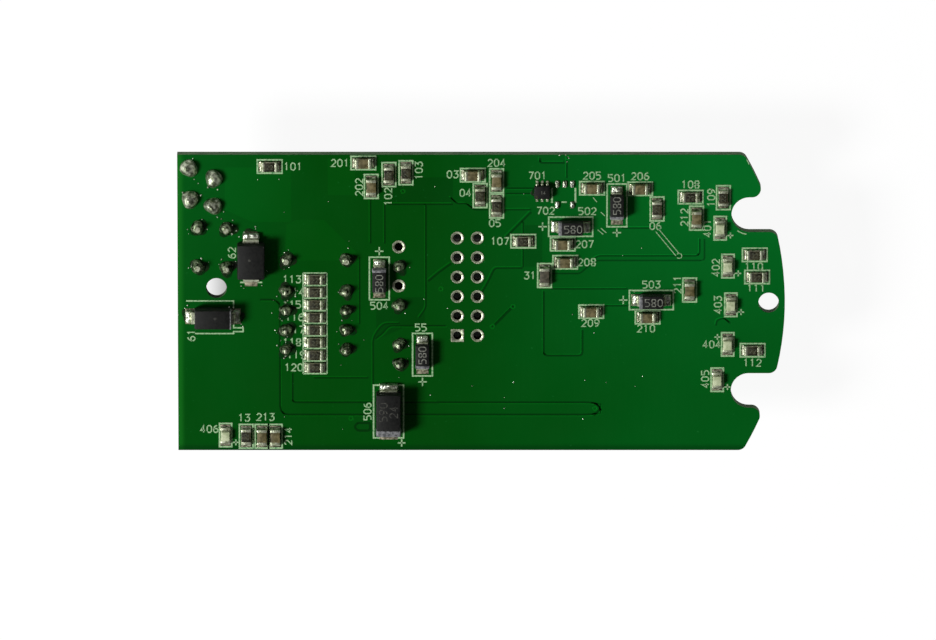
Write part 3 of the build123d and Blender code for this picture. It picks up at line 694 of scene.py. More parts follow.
for node in ("header_pads", "spare_pads"):
    rings = [ring for ring in seats(node) if ring.middle.z > 0]
    first = min(rings, key=lambda ring: (round(ring.middle.y), ring.middle.x))
    shape = Shape()
    for ring in rings:
        eyelet(shape, ring, square=node == "header_pads" and ring is first)
    shape.make("dressed_" + node, "plating", node, sharp=50)
shape = Shape()
for pad in seats("bare_pads"):
    # The bare pads are in the paler copy of the solder, a painted highlight.
    shape.add(block(pad.length, pad.width, 0.3, 0.2, 0.1), LIT_SOLDER, pad.place())
shape.make("dressed_bare_pads", "solder", "bare_pads")

# %% [markdown]
# ## Packages with gull-wing leads
# Small chips stand on leads that leave the sides, bend down and turn out flat on the board. One
# outline, bent from strip, serves every lead of a row. The body is two leaning halves, like any
# moulded part, with a round dimple in the corner of the first lead.

# %% Gull-wing leads and bodies
def gull(root, reach, seam, thickness, width):
    shoulder, knee, foot = root + 0.25 * (reach - root), root + 0.5 * (reach - root), thickness
    outline = [(root - 0.1, seam + foot / 2), (shoulder, seam + foot / 2), (shoulder + foot / 2, seam),
               (knee, foot), (reach, foot), (reach, 0), (knee - foot / 2, 0), (knee - foot, foot / 2),
               (shoulder - foot / 2, seam - foot / 2), (root - 0.1, seam - foot / 2)]
    return bent(outline, width, 0.015)


def moulded_body(shape, length, width, low, high, place):
    """Two halves that lean in from the seam, and a dimple by the first lead."""
    seam, height = (low + high) / 2, high - low
    for facing in (Matrix(), Matrix.Rotation(math.pi, 4, "X")):
        half = block(length, width, height / 2, 0.04, 0.06 * height)
        shape.add(half, MOULDED, place @ at(0, 0, seam) @ facing)
    dimple = turned([(0.11 * width, 0.006), (0.1 * width, 0.004), (0, 0.002)], 24)
    shape.add(dimple, GLAZE, place @ at(-length / 2 + 0.19 * width, -width / 2 + 0.19 * width, high))


def gull_package(node, place, body, height, reach, pitch, count, mark):
    """A body of this length and width over two rows of leads; reach is from tip to tip."""
    shape = Shape()
    length, width = body
    moulded_body(shape, length, width, 0.1, height, place)
    for side in (90, -90):
        for k in range(count):
            shift = (k - (count - 1) / 2) * pitch
            lead = gull(width / 2, reach / 2, 0.1 + height * 0.42, 0.13, 0.45 * pitch)
            shape.add(lead, TIN, place @ at(0, 0, 0, side) @ at(0, shift))
    write(shape, mark, 0.22 * width, place @ at(0.06 * length, 0, height + 0.004), MARKING, 0.12)
    shape.make("dressed_" + node, "package", node)


logic, driver = seat("logic_chip"), seat("line_driver")
gull_package("logic_chip", logic.place(turn=0), (logic.size.x, 1.7), logic.size.z, logic.size.y,
             pitch=0.65, count=3, mark="14")
gull_package("line_driver", beneath(driver, 90), (4.9, 3.9), driver.size.z, driver.size.x,
             pitch=1.27, count=4, mark="11")

# %% The controller
controller, shape = seat("main_controller"), Shape()
place, height = beneath(controller), BOARD_LOW.z - controller.low.z
moulded_body(shape, controller.size.x, controller.size.y, 0.1, height, place)
write(shape, "24", 1.6, place @ at(0, 0, height + 0.004), MARKING, 0.1)
shape.make("dressed_main_controller", "package", "main_controller")
refinish("controller_leads", TIN)
print("controller, mm:", [round(side, 2) for side in controller.size])

# %% [markdown]
# ## Tall parts on the underside
# These parts stand head down under the board, and their leads come up through it. A potted
# converter is a plastic cup filled with resin. An optical coupler sits in an eight-pin case. A
# moulded diode lies across. A resettable fuse is dipped in lacquer that runs down its leads, and a
# film capacitor is a little box.

# %% Leads as tubes
LEAD_RADIUS = 0.35


def tube(points, radius, sides=12):
    """A round wire along some points, in millimetres."""
    form = bmesh.new()
    points = [Vector(point) for point in points]
    rings, last = [], len(points) - 1
    for k, point in enumerate(points):
        onward = points[min(k + 1, last)] - points[max(k - 1, 0)]
        along = onward.to_track_quat("Z", "Y").to_matrix()
        rings.append([form.verts.new(point + along @ Vector((radius * math.cos(a), radius * math.sin(a), 0)))
                      for a in (2 * math.pi * j / sides for j in range(sides))])
    for lower, upper in zip(rings, rings[1:]):
        for k in range(sides):
            form.faces.new((lower[k], lower[(k + 1) % sides], upper[(k + 1) % sides], upper[k]))
    form.faces.new(rings[-1])
    form.faces.new(rings[0][::-1])
    return form


def body_and_leads(node):
    """The seat of a part's body, which is its largest solid, and those of its leads."""
    solids = sorted(seats(node), key=lambda solid: solid.size.x * solid.size.y * solid.size.z)
    return solids[-1], solids[:-1]


def straight_lead(shape, lead):
    points = [(0, 0, height) for height in (lead.low.z, lead.high.z - 0.12, lead.high.z)]
    shape.add(tube(points, LEAD_RADIUS), TIN, lead.place(turn=0))


# %% The converter
case, pins = body_and_leads("isolated_converter")
shape, standoff = Shape(), 0.5
deep, place = BOARD_LOW.z - standoff - case.low.z, beneath(case, 90) @ at(0, 0, standoff)
shape.add(block(case.length, case.width, deep, 0.35), POTTED_CASE, place)
shape.add(block(case.length - 1.6, case.width - 1.6, 0.1, 0.04), GLAZE, place @ at(0, 0, -0.02))
for pin in pins:
    flat = block(pin.length, pin.width, pin.size.z, 0.05)
    shape.add(flat, TIN, pin.place(pin.low.z))
side_face = place @ at(0, -case.width / 2 - 0.004, deep / 2) @ Matrix.Rotation(math.pi / 2, 4, "X")
write(shape, "12", 2.2, side_face, MARKING, 0.1)
shape.make("dressed_isolated_converter", "converter", "isolated_converter")

# %% The coupler
# Known fault: these wide shoulders hang from the seam, away from the board, and their outline
# crosses itself. The measured ones rise from the seam, to half a millimetre short of the board.
case, legs = body_and_leads("dip_coupler")
shape, place = Shape(), beneath(case, case.turn)
near, far, seam = BOARD_LOW.z - case.high.z, BOARD_LOW.z - case.low.z, case.middle.z
moulded_body(shape, case.length, case.width, near, far, place)
notch = turned([(0.8, 0.008), (0.74, 0.004), (0, 0.002)], 24)
shape.add(notch, GLAZE, place @ at(-case.length / 2 + 0.85, 0, far))
for leg in legs:
    outward = 1 if (leg.middle - case.middle).x > 0 else -1
    inner, outer = (leg.low.x, leg.high.x) if outward > 0 else (leg.high.x, leg.low.x)
    reach, foot = abs(outer - inner), 2 * seam - (BOARD_LOW.z - 0.1)
    shoulder = [(0, seam - 0.13), (reach - 0.1, seam - 0.13), (reach, seam - 0.03), (reach, foot),
                (reach - 0.28, foot), (reach - 0.28, seam + 0.13), (0, seam + 0.13)]
    shape.add(bent(shoulder, 1.3), TIN, at(inner, leg.middle.y, 0, 0 if outward > 0 else 180))
    pin = block(0.3, 0.5, leg.high.z - seam, 0.05)
    shape.add(pin, TIN, at(outer - outward * 0.15, leg.middle.y, seam))
shape.make("dressed_dip_coupler", "package", "dip_coupler")

# %% The clamp diode
whole = seat("clamp_diode")
body = min(seats("clamp_diode"), key=lambda solid: solid.high.z)
shape = Shape()
across = body.place(body.middle.z, 0) @ Matrix.Rotation(math.pi / 2, 4, "Y")
half, girth = body.size.x / 2, body.size.y / 2
profile = [(0, -half), (girth * 0.8, -half), (girth, -half + 0.3),
           (girth, half - 0.3), (girth * 0.8, half), (0, half)]
shape.add(turned(profile, 32), MOULDED, across)
shape.add(turned([(girth + 0.005, half - 1.1), (girth + 0.005, half - 0.5)], 32), MARKING, across)
foot, bend = whole.size.x / 2 - LEAD_RADIUS, 0.8
curve = [(foot - bend + bend * math.sin(t), body.middle.z + bend - bend * math.cos(t))
         for t in (0, 0.4, 0.8, 1.2, math.pi / 2)]
route = [(half, body.middle.z)] + curve + [(foot, whole.high.z - 0.1), (foot, whole.high.z)]
for side in (-1, 1):
    wire = tube([(side * x, 0, z) for x, z in route], LEAD_RADIUS)
    shape.add(wire, TIN, whole.place(turn=0))
shape.make("dressed_clamp_diode", "diode", "clamp_diode")

# %% The fuse and the film capacitor
body, leads = body_and_leads("resettable_fuse")
shape = Shape()
disc = block(body.length, body.width, body.size.z, 1.2)
bmesh.ops.subdivide_edges(disc, edges=disc.edges[:], cuts=2, use_grid_fill=True, smooth=0.3)
shape.add(disc, FUSE_COAT, body.place(body.low.z))
for lead in leads:
    straight_lead(shape, lead)
    run = turned([(0.75, body.high.z - 0.35), (0.6, body.high.z + 0.15), (0.36, body.high.z + 0.6)], 20, 0.05)
    shape.add(run, FUSE_COAT, lead.place(turn=0))
shape.make("dressed_resettable_fuse", "fuse", "resettable_fuse")
body, leads = body_and_leads("film_capacitor")
shape = Shape()
shape.add(block(body.length, body.width, body.size.z, 0.3), FILM_BOX, body.place(body.low.z))
for lead in leads:
    straight_lead(shape, lead)
shape.make("dressed_film_capacitor", "film", "film_capacitor")

# %% The clock crystal
spot, lid_height = seat("clock_crystal"), 0.25
shape, place = Shape(), beneath(spot)
shape.add(block(spot.size.x, spot.size.y, spot.size.z - lid_height, 0.12), ALUMINA, place)
lid = block(spot.size.x - 0.5, spot.size.y - 0.5, lid_height, 0.1)
shape.add(lid, TIN, place @ at(0, 0, spot.size.z - lid_height))
write(shape, "16", 1.0, place @ at(0, 0, spot.size.z + 0.004), MOULDED, 0.1)
shape.make("dressed_clock_crystal", "crystal", "clock_crystal")
print("crystal, mm:", [round(side, 2) for side in spot.size])

# %% [markdown]
# ## Copper under the mask
# Copper fills most of the face, and narrow gaps set the tracks apart. Under the mask a gap is a dark
# line. Beside it a pale lip is a painted highlight, where the ink runs over the edge of the copper on
# the side that faces the light. Each run is drawn as two flat lines that lie a hair above the board,
# in the same uneven green as the rest of it.

# %% Tracks and gaps
TRACE_LEVEL, PRINT_LEVEL = 0.008, 0.02
copper = Shape()


def shifted(points, x, y):
    return [(a + x, b + y) for a, b in points]


def rounded(points, radius):
    """Cuts each inner corner of a path with a short curve."""
    path = [points[0]]
    for before, corner, after in zip(points, points[1:], points[2:]):
        before, corner, after = [Vector(point) for point in (before, corner, after)]
        start = corner + (before - corner).normalized() * radius
        end = corner + (after - corner).normalized() * radius
        for t in (0, 0.33, 0.67, 1):
            path.append(tuple((1 - t) ** 2 * start + 2 * t * (1 - t) * corner + t ** 2 * end))
    return path + [points[-1]]


def gap(points, lip=0.16, radius=0.5, width=0.2, face=at(0, 0, TRACE_LEVEL)):
    """A dark gap, and a pale lip beside it, a painted highlight on the copper's edge, on the side that lip
    gives: plus is up and to the left.
    """
    path = rounded(points, radius)
    copper.add(line(path, width), GROOVE, face)
    if lip:
        copper.add(line(shifted(path, -lip, lip), 0.14), RIDGE, face)


def island(points, finish):
    """A patch of the face that lies higher or lower than the rest."""
    form = bmesh.new()
    form.faces.new([form.verts.new((x, y, 0)) for x, y in points])
    copper.add(form, finish, at(0, 0, TRACE_LEVEL / 2))


# The long track that runs from the coupler's joints to a round end
gap([(5.5, -1.5), (8.0, -1.5), (8.0, -16.5), (47.5, -16.5),
     (48.6, -16.3), (48.6, -15.1), (47.5, -14.9), (28, -14.9)], -0.16, 1.1, 0.24)
gap([(28, -14.9), (9.6, -14.9), (9.6, -11.1)], 0.16, 0.4, 0.24)
gap([(12.3, -11.7), (19.2, -11.7)])
gap([(19.8, -14.6), (19.8, -6.6), (20.4, -5.5), (21.2, -4.6), (23.2, -4.6)], 0.16, 0.6)
gap([(20.1, -6.6), (21.0, -5.9), (21.8, -4.9), (24.6, -4.9), (26.5, -4.9), (29.0, -4.9)], -0.14)
# Around the converter's pins
gap([(19.5, 11.6), (19.5, 5.8)])
gap([(21.3, 11.1), (21.3, 5.8)])
gap([(21.7, 10.9), (26.5, 10.9), (29.9, 10.9)], 0.2)
gap([(26.5, 10.8), (26.5, -2.6), (25.6, -3.9)], 0.14)
gap([(18.1, 4.0), (18.1, -4.7)], 0.14)
gap([(17.8, -17.6), (19.4, -17.6), (19.4, -18.6), (17.8, -18.6), (17.4, -18.1), (17.8, -17.6)], 0, 0.3, 0.3)
# From the upper chips towards the logic chip
gap([(29.6, 11.8), (30.4, 11.0), (31.6, 11.0), (32.6, 10.2), (39.8, 10.2)], 0.18, 0.3)
gap([(39.8, 9.9), (36.6, 6.6)], 0.2, 0.2, 0.26)
gap([(36.6, 13.0), (40.2, 13.0)], -0.14)
gap([(36.6, 12.3), (40.2, 12.3)], -0.14)
gap([(40.9, 16.9), (40.9, 16.3), (44.0, 16.3)], 0.2, 0.3, 0.26)
gap([(44.3, 17.1), (44.3, 14.3)], 0.14)
gap([(29.7, 3.2), (28.2, 2.1), (26.8, 0.9)], 0.2, 0.2, 0.26)
# From the header towards the bead, the lamps and the regulator that was never fitted
gap([(33.6, -0.6), (34.4, 0.9), (35.2, 2.6), (36.4, 2.6), (38.7, 2.6)], 0.2, 0.4)
gap([(38.8, 8.6), (38.8, 2.7)], 0.14)
gap([(42.1, 1.9), (46.0, 1.9), (47.4, 3.2), (48.1, 3.6), (61.0, 3.6), (61.7, 3.6), (61.7, 6.4)], 0, 0.4)
gap([(47.7, 3.8), (48.3, 4.2), (60.8, 4.2), (61.1, 4.5), (61.1, 6.4)], 0.14, 0.3)
gap([(42.3, -0.1), (52.0, -0.1)], 0.14)
gap([(46.3, -5.5), (46.3, -8.8), (41.4, -8.8), (41.4, -0.4)], 0.16, 0.5, 0.24)
gap([(49.2, -2.3), (52.0, -2.3)], 0.14)
gap([(51.2, 7.8), (55.4, 7.8)], 0.2)
gap([(37.6, -2.3), (34.9, -5.1)], 0.14, 0.2, 0.34)
gap([(63.2, -4.9), (63.3, -4.2), (64.2, -3.9), (65.0, -4.6)], 0.16, 0.3)
print("faces of the gaps and lips:", len(copper.mesh.faces))

# %% Higher and lower parts of the face
island([(8.7, 5.2), (8.9, 8.3), (10.2, 8.9), (13.6, 8.9), (18.0, 4.4), (17.8, 3.6), (9.3, 3.6)], RAISED)
island([(1.1, 15.7), (9.5, 15.7), (9.5, 8.6), (4.6, 8.6), (1.1, 10.2)], RAISED)
island([(14.1, 16.9), (17.6, 16.9), (17.6, 12.1), (14.1, 12.1)], RAISED)
island([(21.9, 14.4), (29.9, 14.4), (29.9, 11.2), (21.9, 11.2)], SUNKEN)
island([(39.0, 8.2), (41.2, 8.2), (41.2, 2.8), (39.0, 2.8)], SUNKEN)
island([(20.2, -6.8), (24.0, -5.0), (26.3, -5.0), (26.3, -1.2), (20.2, -1.2)], SUNKEN)
VIAS = [(28.4, -0.1), (37.5, -2.4), (34.9, -5.0), (47.9, -15.7), (23.6, 12.6), (44.4, 16.95), (17.0, -17.0)]
for x, y in VIAS:
    copper.add(turned([(0.34, 0), (0.2, 0.01), (0.16, 0)], 20), RIDGE, at(x, y, TRACE_LEVEL))
copper.make("copper_under_mask", "board")
print("vias:", len(VIAS))

# %% [markdown]
# ## Printed outlines
# Each place has its outline in pale ink, a little larger than the part and its pads, so that the
# fitter could see what goes where. The pads under the ends are dull tin.

# %% Outlines and pads
ink, pads = Shape(), Shape()


def stroke(points, width, place=at(0, 0, PRINT_LEVEL), closed=False):
    ink.add(line(points, width, closed), INK, place)


def frame_round(place, length, width):
    x, y = length / 2, width / 2
    stroke([(-x, -y), (x, -y), (x, y), (-x, y)], 0.2, place, closed=True)


def pad_pair(spot, length, width):
    for side in (-1, 1):
        pad = block(length, width, 0.04, 0.01)
        pads.add(pad, PAD_TIN, spot.place() @ at(side * (spot.length / 2 - 0.1), 0))


CHIP_OUTLINE, LAMP_OUTLINE, TANTALUM_OUTLINE = (3.1, 1.72), (3.05, 1.54), (5.55, 2.5)
SMALL_PARTS = RESISTORS + CAPACITORS + LAMPS + ["ferrite_bead"]
for node in SMALL_PARTS:
    spot = seat(node)
    frame_round(spot.place(PRINT_LEVEL), *(LAMP_OUTLINE if node in LAMPS else CHIP_OUTLINE))
    pad_pair(spot, 0.95, 1.3)
for node in TANTALUMS[:-1]:
    spot = seat(node)
    frame_round(spot.place(PRINT_LEVEL), *TANTALUM_OUTLINE)
    pad_pair(spot, 1.7, 1.5)
for rung in LADDER:
    pad_pair(rung, 0.85, 1.3)
step_up = LADDER[1].middle.y - LADDER[0].middle.y
ladder_x, first_y, last_y = LADDER[0].middle.x, LADDER[0].middle.y, LADDER[-1].middle.y
left, right = ladder_x - 1.5, ladder_x + 1.5
for k in range(len(LADDER) + 1):
    height = first_y + (k - 0.5) * step_up
    stroke([(left, height), (right, height)], 0.18)
for x in (left, right):
    stroke([(x, first_y - step_up / 2), (x, last_y + step_up / 2)], 0.18)

# %% Outlines of the larger parts
spot = seat("large_tantalum")
frame_round(spot.place(PRINT_LEVEL, 0), 3.8, 6.9)
pad_pair(spot, 1.5, 2.3)
spot = seat("surge_diode")
edge = [(-3.4, 2.0), (2.6, 2.0), (2.6, -1.5), (3.8, -1.5),
        (3.8, -2.0), (2.6, -2.0), (2.6, -2.25), (-2.3, -2.25)]
stroke(edge, 0.18, spot.place(PRINT_LEVEL))
pad_pair(spot, 1.7, 2.0)
spot = seat("supply_diode")
stroke([(-1.4, -3.05), (1.4, -3.05)], 0.2, spot.place(PRINT_LEVEL, 0))
pad_pair(spot, 1.9, 1.6)
bare = [pad.middle for pad in seats("bare_pads")]
left, right = min(point.x for point in bare) - 0.65, max(point.x for point in bare) + 0.4
low, high = min(point.y for point in bare), max(point.y for point in bare)
for x in (left, right):
    stroke([(x, low + 0.25), (x, high - 0.5)], 0.24)
stroke([(left + 1.2, low + 0.35), (right - 1.1, low + 0.35)], 0.18)
print("outlines:", len(SMALL_PARTS) + len(TANTALUMS) + 4)

# %% [markdown]
# ## Printed numbers
# Most places have a number beside them, upright or turned to suit the room there. The numbers are
# plain ones, with a group for each kind of part. The lamps and the tantalum capacitors, which only
# work one way round, also have a plus.

# %% Numbers and plus signs
NUMBER_HEIGHT, PEN = 0.9, 0.17
SIDES = {"right": (1, 0), "left": (-1, 0), "above": (0, 1), "below": (0, -1)}


def number(node, text, side, turned_up=False, nudge=(0, 0), outline=CHIP_OUTLINE):
    """Writes a number beside the outline of a part."""
    spot = seat(node)
    reach = Vector(outline[::-1] if spot.turn else outline) / 2
    written = Vector(((9 * len(text) - 3) / 20, 0.5)) * NUMBER_HEIGHT
    if turned_up:
        written = written.yx
    way = Vector(SIDES[side])
    offset = way * ((reach + written).dot(Vector(map(abs, way))) + 0.32) + Vector(nudge)
    place = at(spot.middle.x + offset.x, spot.middle.y + offset.y, PRINT_LEVEL, 90 if turned_up else 0)
    write(ink, text, NUMBER_HEIGHT, place, INK, PEN)


number("chip_resistor_1", "101", "right")
number("chip_resistor_2", "102", "below", True, (-0.1, 0.1))
number("chip_resistor_3", "103", "right", True, (0, 0.3))
number("chip_resistor_4", "04", "left", nudge=(0, 0.35))
number("chip_resistor_5", "05", "below", nudge=(-0.2, 0.1))
number("chip_resistor_6", "06", "below", nudge=(-0.2, 0.1))
number("chip_resistor_7", "107", "left")
number("chip_resistor_8", "108", "above")
number("chip_resistor_9", "109", "left", True, (0.1, 0))
number("chip_resistor_10", "110", "below", nudge=(-0.1, 0.12))
number("chip_resistor_11", "111", "below", nudge=(-0.1, 0.2))
number("chip_resistor_12", "112", "below")
number("chip_resistor_13", "13", "above", nudge=(-0.25, 0.1))
number("chip_capacitor_1", "201", "left")
number("chip_capacitor_2", "202", "left", True, (0.1, -0.1))
number("chip_capacitor_3", "03", "left", nudge=(0, 0.1))
number("chip_capacitor_4", "204", "above")
number("chip_capacitor_5", "205", "above")
number("chip_capacitor_6", "206", "above")
number("chip_capacitor_7", "207", "right", nudge=(-0.2, 0))
number("chip_capacitor_8", "208", "right", nudge=(-0.2, 0))
number("chip_capacitor_9", "209", "below", nudge=(-0.1, 0.15))
number("chip_capacitor_10", "210", "below", nudge=(-0.2, 0.15))
number("chip_capacitor_11", "211", "left", True, (0.1, 0.7))
number("chip_capacitor_12", "212", "left", True, (0.1, 0.1))
number("chip_capacitor_13", "213", "above", nudge=(0.45, 0.2))
number("chip_capacitor_14", "214", "right", True)
number("ferrite_bead", "31", "left")
for k, shift in enumerate([(0, 0), (0.1, -0.2), (0, 0), None, (0.1, 0.1)], 1):
    if shift:
        number(f"indicator_led_{k}", f"40{k}", "left", True, shift)
number("indicator_led_4", "404", "left", nudge=(0.25, 0))
number("indicator_led_6", "406", "left", nudge=(0.2, 0.8))
number("small_tantalum_1", "501", "above", outline=TANTALUM_OUTLINE)
number("small_tantalum_2", "502", "above", nudge=(2.1, 0), outline=TANTALUM_OUTLINE)
number("small_tantalum_3", "503", "above", outline=TANTALUM_OUTLINE)
number("small_tantalum_4", "504", "below", outline=TANTALUM_OUTLINE)
number("small_tantalum_5", "55", "above", nudge=(-0.2, 0), outline=TANTALUM_OUTLINE)
number("large_tantalum", "506", "left", True, outline=(6.9, 3.8))
number("surge_diode", "61", "below", True, (-2.75, 0.6), outline=(6.0, 4.2))
number("supply_diode", "62", "left", True, (0.1, 0.8), outline=(5.4, 3.5))
number("logic_chip", "701", "above", nudge=(-0.6, -0.1), outline=(2.7, 2.0))
number("bare_pads", "702", "below", nudge=(-2.4, 0), outline=(2.7, 3.6))
for k, (rung, shift) in enumerate(zip(LADDER, (-2.7, -2.4, -2.9, -2.5, -2.6, -2.9, -2.5, -2.9))):
    write(ink, str(120 - k), NUMBER_HEIGHT, at(ladder_x + shift, rung.middle.y, PRINT_LEVEL), INK, PEN)

# %% Plus signs
for k, node in enumerate(LAMPS):
    spot, side = seat(node), -1 if k == 3 else 1
    write(ink, "+", 0.95, at(spot.middle.x + 1.3 * side, spot.middle.y - 0.95 * side, PRINT_LEVEL), INK, 0.18)
for node, heading in zip(TANTALUMS[:-1], TANTALUM_HEADINGS):
    spot = seat(node)
    write(ink, "+", 1.35, spot.place(PRINT_LEVEL, heading) @ at(3.55, 0), INK, 0.13)
spot = seat("large_tantalum")
write(ink, "+", 1.2, at(spot.middle.x + 1.65, spot.middle.y - 4.1, PRINT_LEVEL), INK, 0.16)

# %% [markdown]
# ## Marks on the hidden face
# The lower face is printed too. Each part there has an outline and a number, and tracks run from the
# controller to the header, to the driver and along both edges. Drawing them with the same gap and
# outline as above, only turned over, keeps the two faces alike.

# %% Outlines, numbers and tracks beneath
HIDDEN = {"isolated_converter": "above", "dip_coupler": "above", "clamp_diode": "below",
          "controller_leads": "below", "line_driver": "above", "clock_crystal": "above",
          "resettable_fuse": "above", "film_capacitor": "right"}
LEAD_PITCH, PIN_PITCH = 0.8, 2.54
for k, (node, side) in enumerate(HIDDEN.items(), 1):
    spot, (x, y) = seat(node), SIDES[side]
    place = beneath(spot) @ at(0, 0, PRINT_LEVEL)
    frame_round(place, spot.size.x + 0.7, spot.size.y + 0.7)
    beside = at(x * (spot.size.x / 2 + 1.7), y * (spot.size.y / 2 + 1.1))
    write(ink, f"80{k}", NUMBER_HEIGHT, place @ beside, INK, PEN)
copper, lower_face = Shape(), at(0, 0, BOARD_LOW.z - TRACE_LEVEL) @ Matrix.Rotation(math.pi, 4, "X")
for k in range(6):
    lead, hole = LEAD_PITCH * k - 5.6, PIN_PITCH * k - 6.5
    bends = [(42.8 - 0.4 * abs(k - 3), lead), (37.0 + 0.5 * abs(k - 2), hole)]
    gap([(45.0, lead), *bends, (34.2, hole)], face=lower_face)
for k in range(4):
    across, down = LEAD_PITCH * k, 0.6 * k
    lead, edge = 47.4 + across, -14.2 - down
    gap([(lead, -9.0), (lead, -10.8 - down), (42 + across, edge), (3.0, edge)], 0.14, face=lower_face)
    lead, far = 1.6 - across, 63.4 + down
    gap([(57.6, lead), (60 + down, lead), (far, 5.0 - across), (far, 9.0)], 0.14, face=lower_face)
gap([(48.0, 9.4), (48.0, 14.6), (6.0, 14.6), (3.4, 12.0), (3.4, 4.0)], 0.16, 1.1, 0.24, lower_face)
gap([(38.5, 10.6), (38.5, 13.2), (26.4, 13.2), (26.4, -8.0)], 0.16, 0.8, 0.24, lower_face)
copper.make("copper_under_lower_mask", "board")
ink.make("printed_marks", "board")
pads.make("pads_under_chips", "solder")
print("places marked on the hidden face:", len(HIDDEN))

# %% [markdown]
# ## Flux, painted shade and specks
# Hand soldering leaves its marks: flux that has run round the joints and dried to a dark film, and
# tiny balls of solder. Thin, wavy-edged drops of dark green lie round the joints, a little to the
# right of each one and below it: they are flux, and painted shade as well. The balls are in the
# paler copy of the solder, a painted highlight, and are scattered with a seeded die. The joints
# come in no fixed order, so from one run to the next the throws can go to other joints, and small
# lumps change. None may fall off the board.

# %% Flux with painted shade, and solder balls
flux = Shape()


def flux_and_shade_drop(x, y, reach):
    # A thin dark green drop: flux, and painted shade round a joint.
    drop = turned([(reach, 0), (reach * 0.85, 0.012), (0, 0.02)], 28, 0.35)
    flux.add(drop, FLUX_AND_SHADE, at(x, y, PRINT_LEVEL + 0.004, random.uniform(0, 360)))


def scatter(x, y, reach, count, largest=0.12):
    """Drops balls round a place; one that would fall past the tail or a long side is moved in."""
    for _ in range(count):
        size, way = random.uniform(0.05, largest), random.uniform(0, 6.3)
        far = reach * random.uniform(0.7, 1.3)
        ball = turned([(size, 0), (size * 0.9, size * 0.5), (size * 0.5, size * 0.85), (0, size)], 10)
        ball_x = max(x + far * math.cos(way), BOARD_LOW.x + size)
        ball_y = min(max(y + far * math.sin(way), BOARD_LOW.y + size), BOARD_HIGH.y - size)
        # The balls are in the paler copy of the solder, a painted highlight.
        flux.add(ball, LIT_SOLDER, at(ball_x, ball_y, 0.01))


for joint in UPPER_JOINTS:
    near_tail = joint.middle.x < 10
    x, y = joint.middle.x + 0.25, joint.middle.y - 0.1
    flux_and_shade_drop(x, y, joint.length * (0.6 if near_tail else 0.52))
    scatter(joint.middle.x, joint.middle.y, 1.2, 4 if near_tail else 1)
for joint in WIRE_JOINTS:
    scatter(joint.middle.x, joint.middle.y, 1.6, 3)
for node in ("surge_diode", "supply_diode"):
    spot = seat(node)
    for end in (-1, 1):
        end_place = spot.place() @ Vector((end * (spot.length / 2 + 0.3), 0, 0))
        if end_place.y > spot.low.y:
            flux_and_shade_drop(end_place.x, end_place.y, 0.9)
        scatter(end_place.x, end_place.y, 1.4, 4)
flux_and_shade_drop(logic.low.x - 0.1, logic.middle.y - 0.2, 0.4)
for _ in range(40):
    x, y = random.uniform(BOARD_LOW.x + 2, 60), random.uniform(BOARD_LOW.y + 2, BOARD_HIGH.y - 2)
    scatter(x, y, 1.0, 1, 0.08)
print("joints with flux:", len(UPPER_JOINTS))

# %% [markdown]
# ## Bright edges
# Pale lines in the ink's colour lie on two thin tracks behind the lamps, in a small ring at their
# end and in a few short strokes. Along the rim of the upper notch and at its corner they are painted
# highlights, where the mask's rounded edge catches the light, and a few balls of paler solder by a
# via on the upper edge are painted glints.

# %% Pale lines and painted glints
glint_and_line_shape = Shape()


# Draws a pale line in the ink's colour; at the upper notch's rim and corner it is a painted highlight.
def worn(points, width=0.1):
    glint_and_line_shape.add(line(points, width), INK, at(0, 0, PRINT_LEVEL))


def bow(x, y, radius, first, last):
    """Points on an arc, from one angle in degrees to another."""
    turns = [math.radians(first + (last - first) * k / 6) for k in range(7)]
    return [(x + radius * math.cos(turn), y + radius * math.sin(turn)) for turn in turns]


PALE_TRACK_LINES = [((55.9, 7.7), (58.5, 4.5)), ((55.5, 7.4), (58.1, 4.2))]
# The last stroke, at the upper notch's corner, is a painted highlight.
PALE_STROKES = [((47.6, 11.8), (48.1, 11.2)), ((48.6, 9.9), (49.1, 9.4)), ((48.2, 7.6), (48.9, 7.0)),
             ((48.6, 7.8), (49.3, 7.2)), ((67.0, 16.7), (67.3, 16.1))]
for ends in PALE_TRACK_LINES + PALE_STROKES:
    worn(ends)
worn(bow(58.5, 4.2, 0.35, 137, -137))
# A painted highlight along the rim of the upper notch.
worn(bow(67.35, 9.55, 2.55, 234, 262), 0.14)
# Balls of paler solder by a via on the upper edge: painted glints.
scatter(43.9, 16.9, 0.6, 5, 0.1)
print("worn edges:", len(glint_and_line_shape.mesh.faces))
glint_and_line_shape.make("pale_lines_and_painted_glints", "board")
flux.make("flux_shade_and_solder_balls", "solder")

# %% [markdown]
# ## Floor, light and camera
# A white table lies just below the tallest part, so the board is held about a centimetre above it. One
# lamp stands to the left at half height, so every part throws a short shadow to the right. The sky is
# white at the horizon and dark overhead: gloss that faces up stays deep in colour, and the sides of the
# solder catch the light.
#
# The table also glows, for the camera, for mirrors and for clear things alone, so it looks white and
# still shows a faint shadow. Under the board the glow fades to nothing. This dark patch is painted on
# the table, and it deepens the shadow there, so that the small open holes look dark. It stops short of
# the nose, so that fixing hole looks white, and the tail's hole, where the patch fades, looks grey.
# From below the table is clear, so the hidden face can be looked at.

# %% A white table
def rays(finish):
    """Three fields that are 1 for a ray of the camera, of a mirror and through a clear thing."""
    kinds = ("Camera", "Glossy", "Transmission")
    return [finish.node("LightPath", output=f"Is {kind} Ray") for kind in kinds]


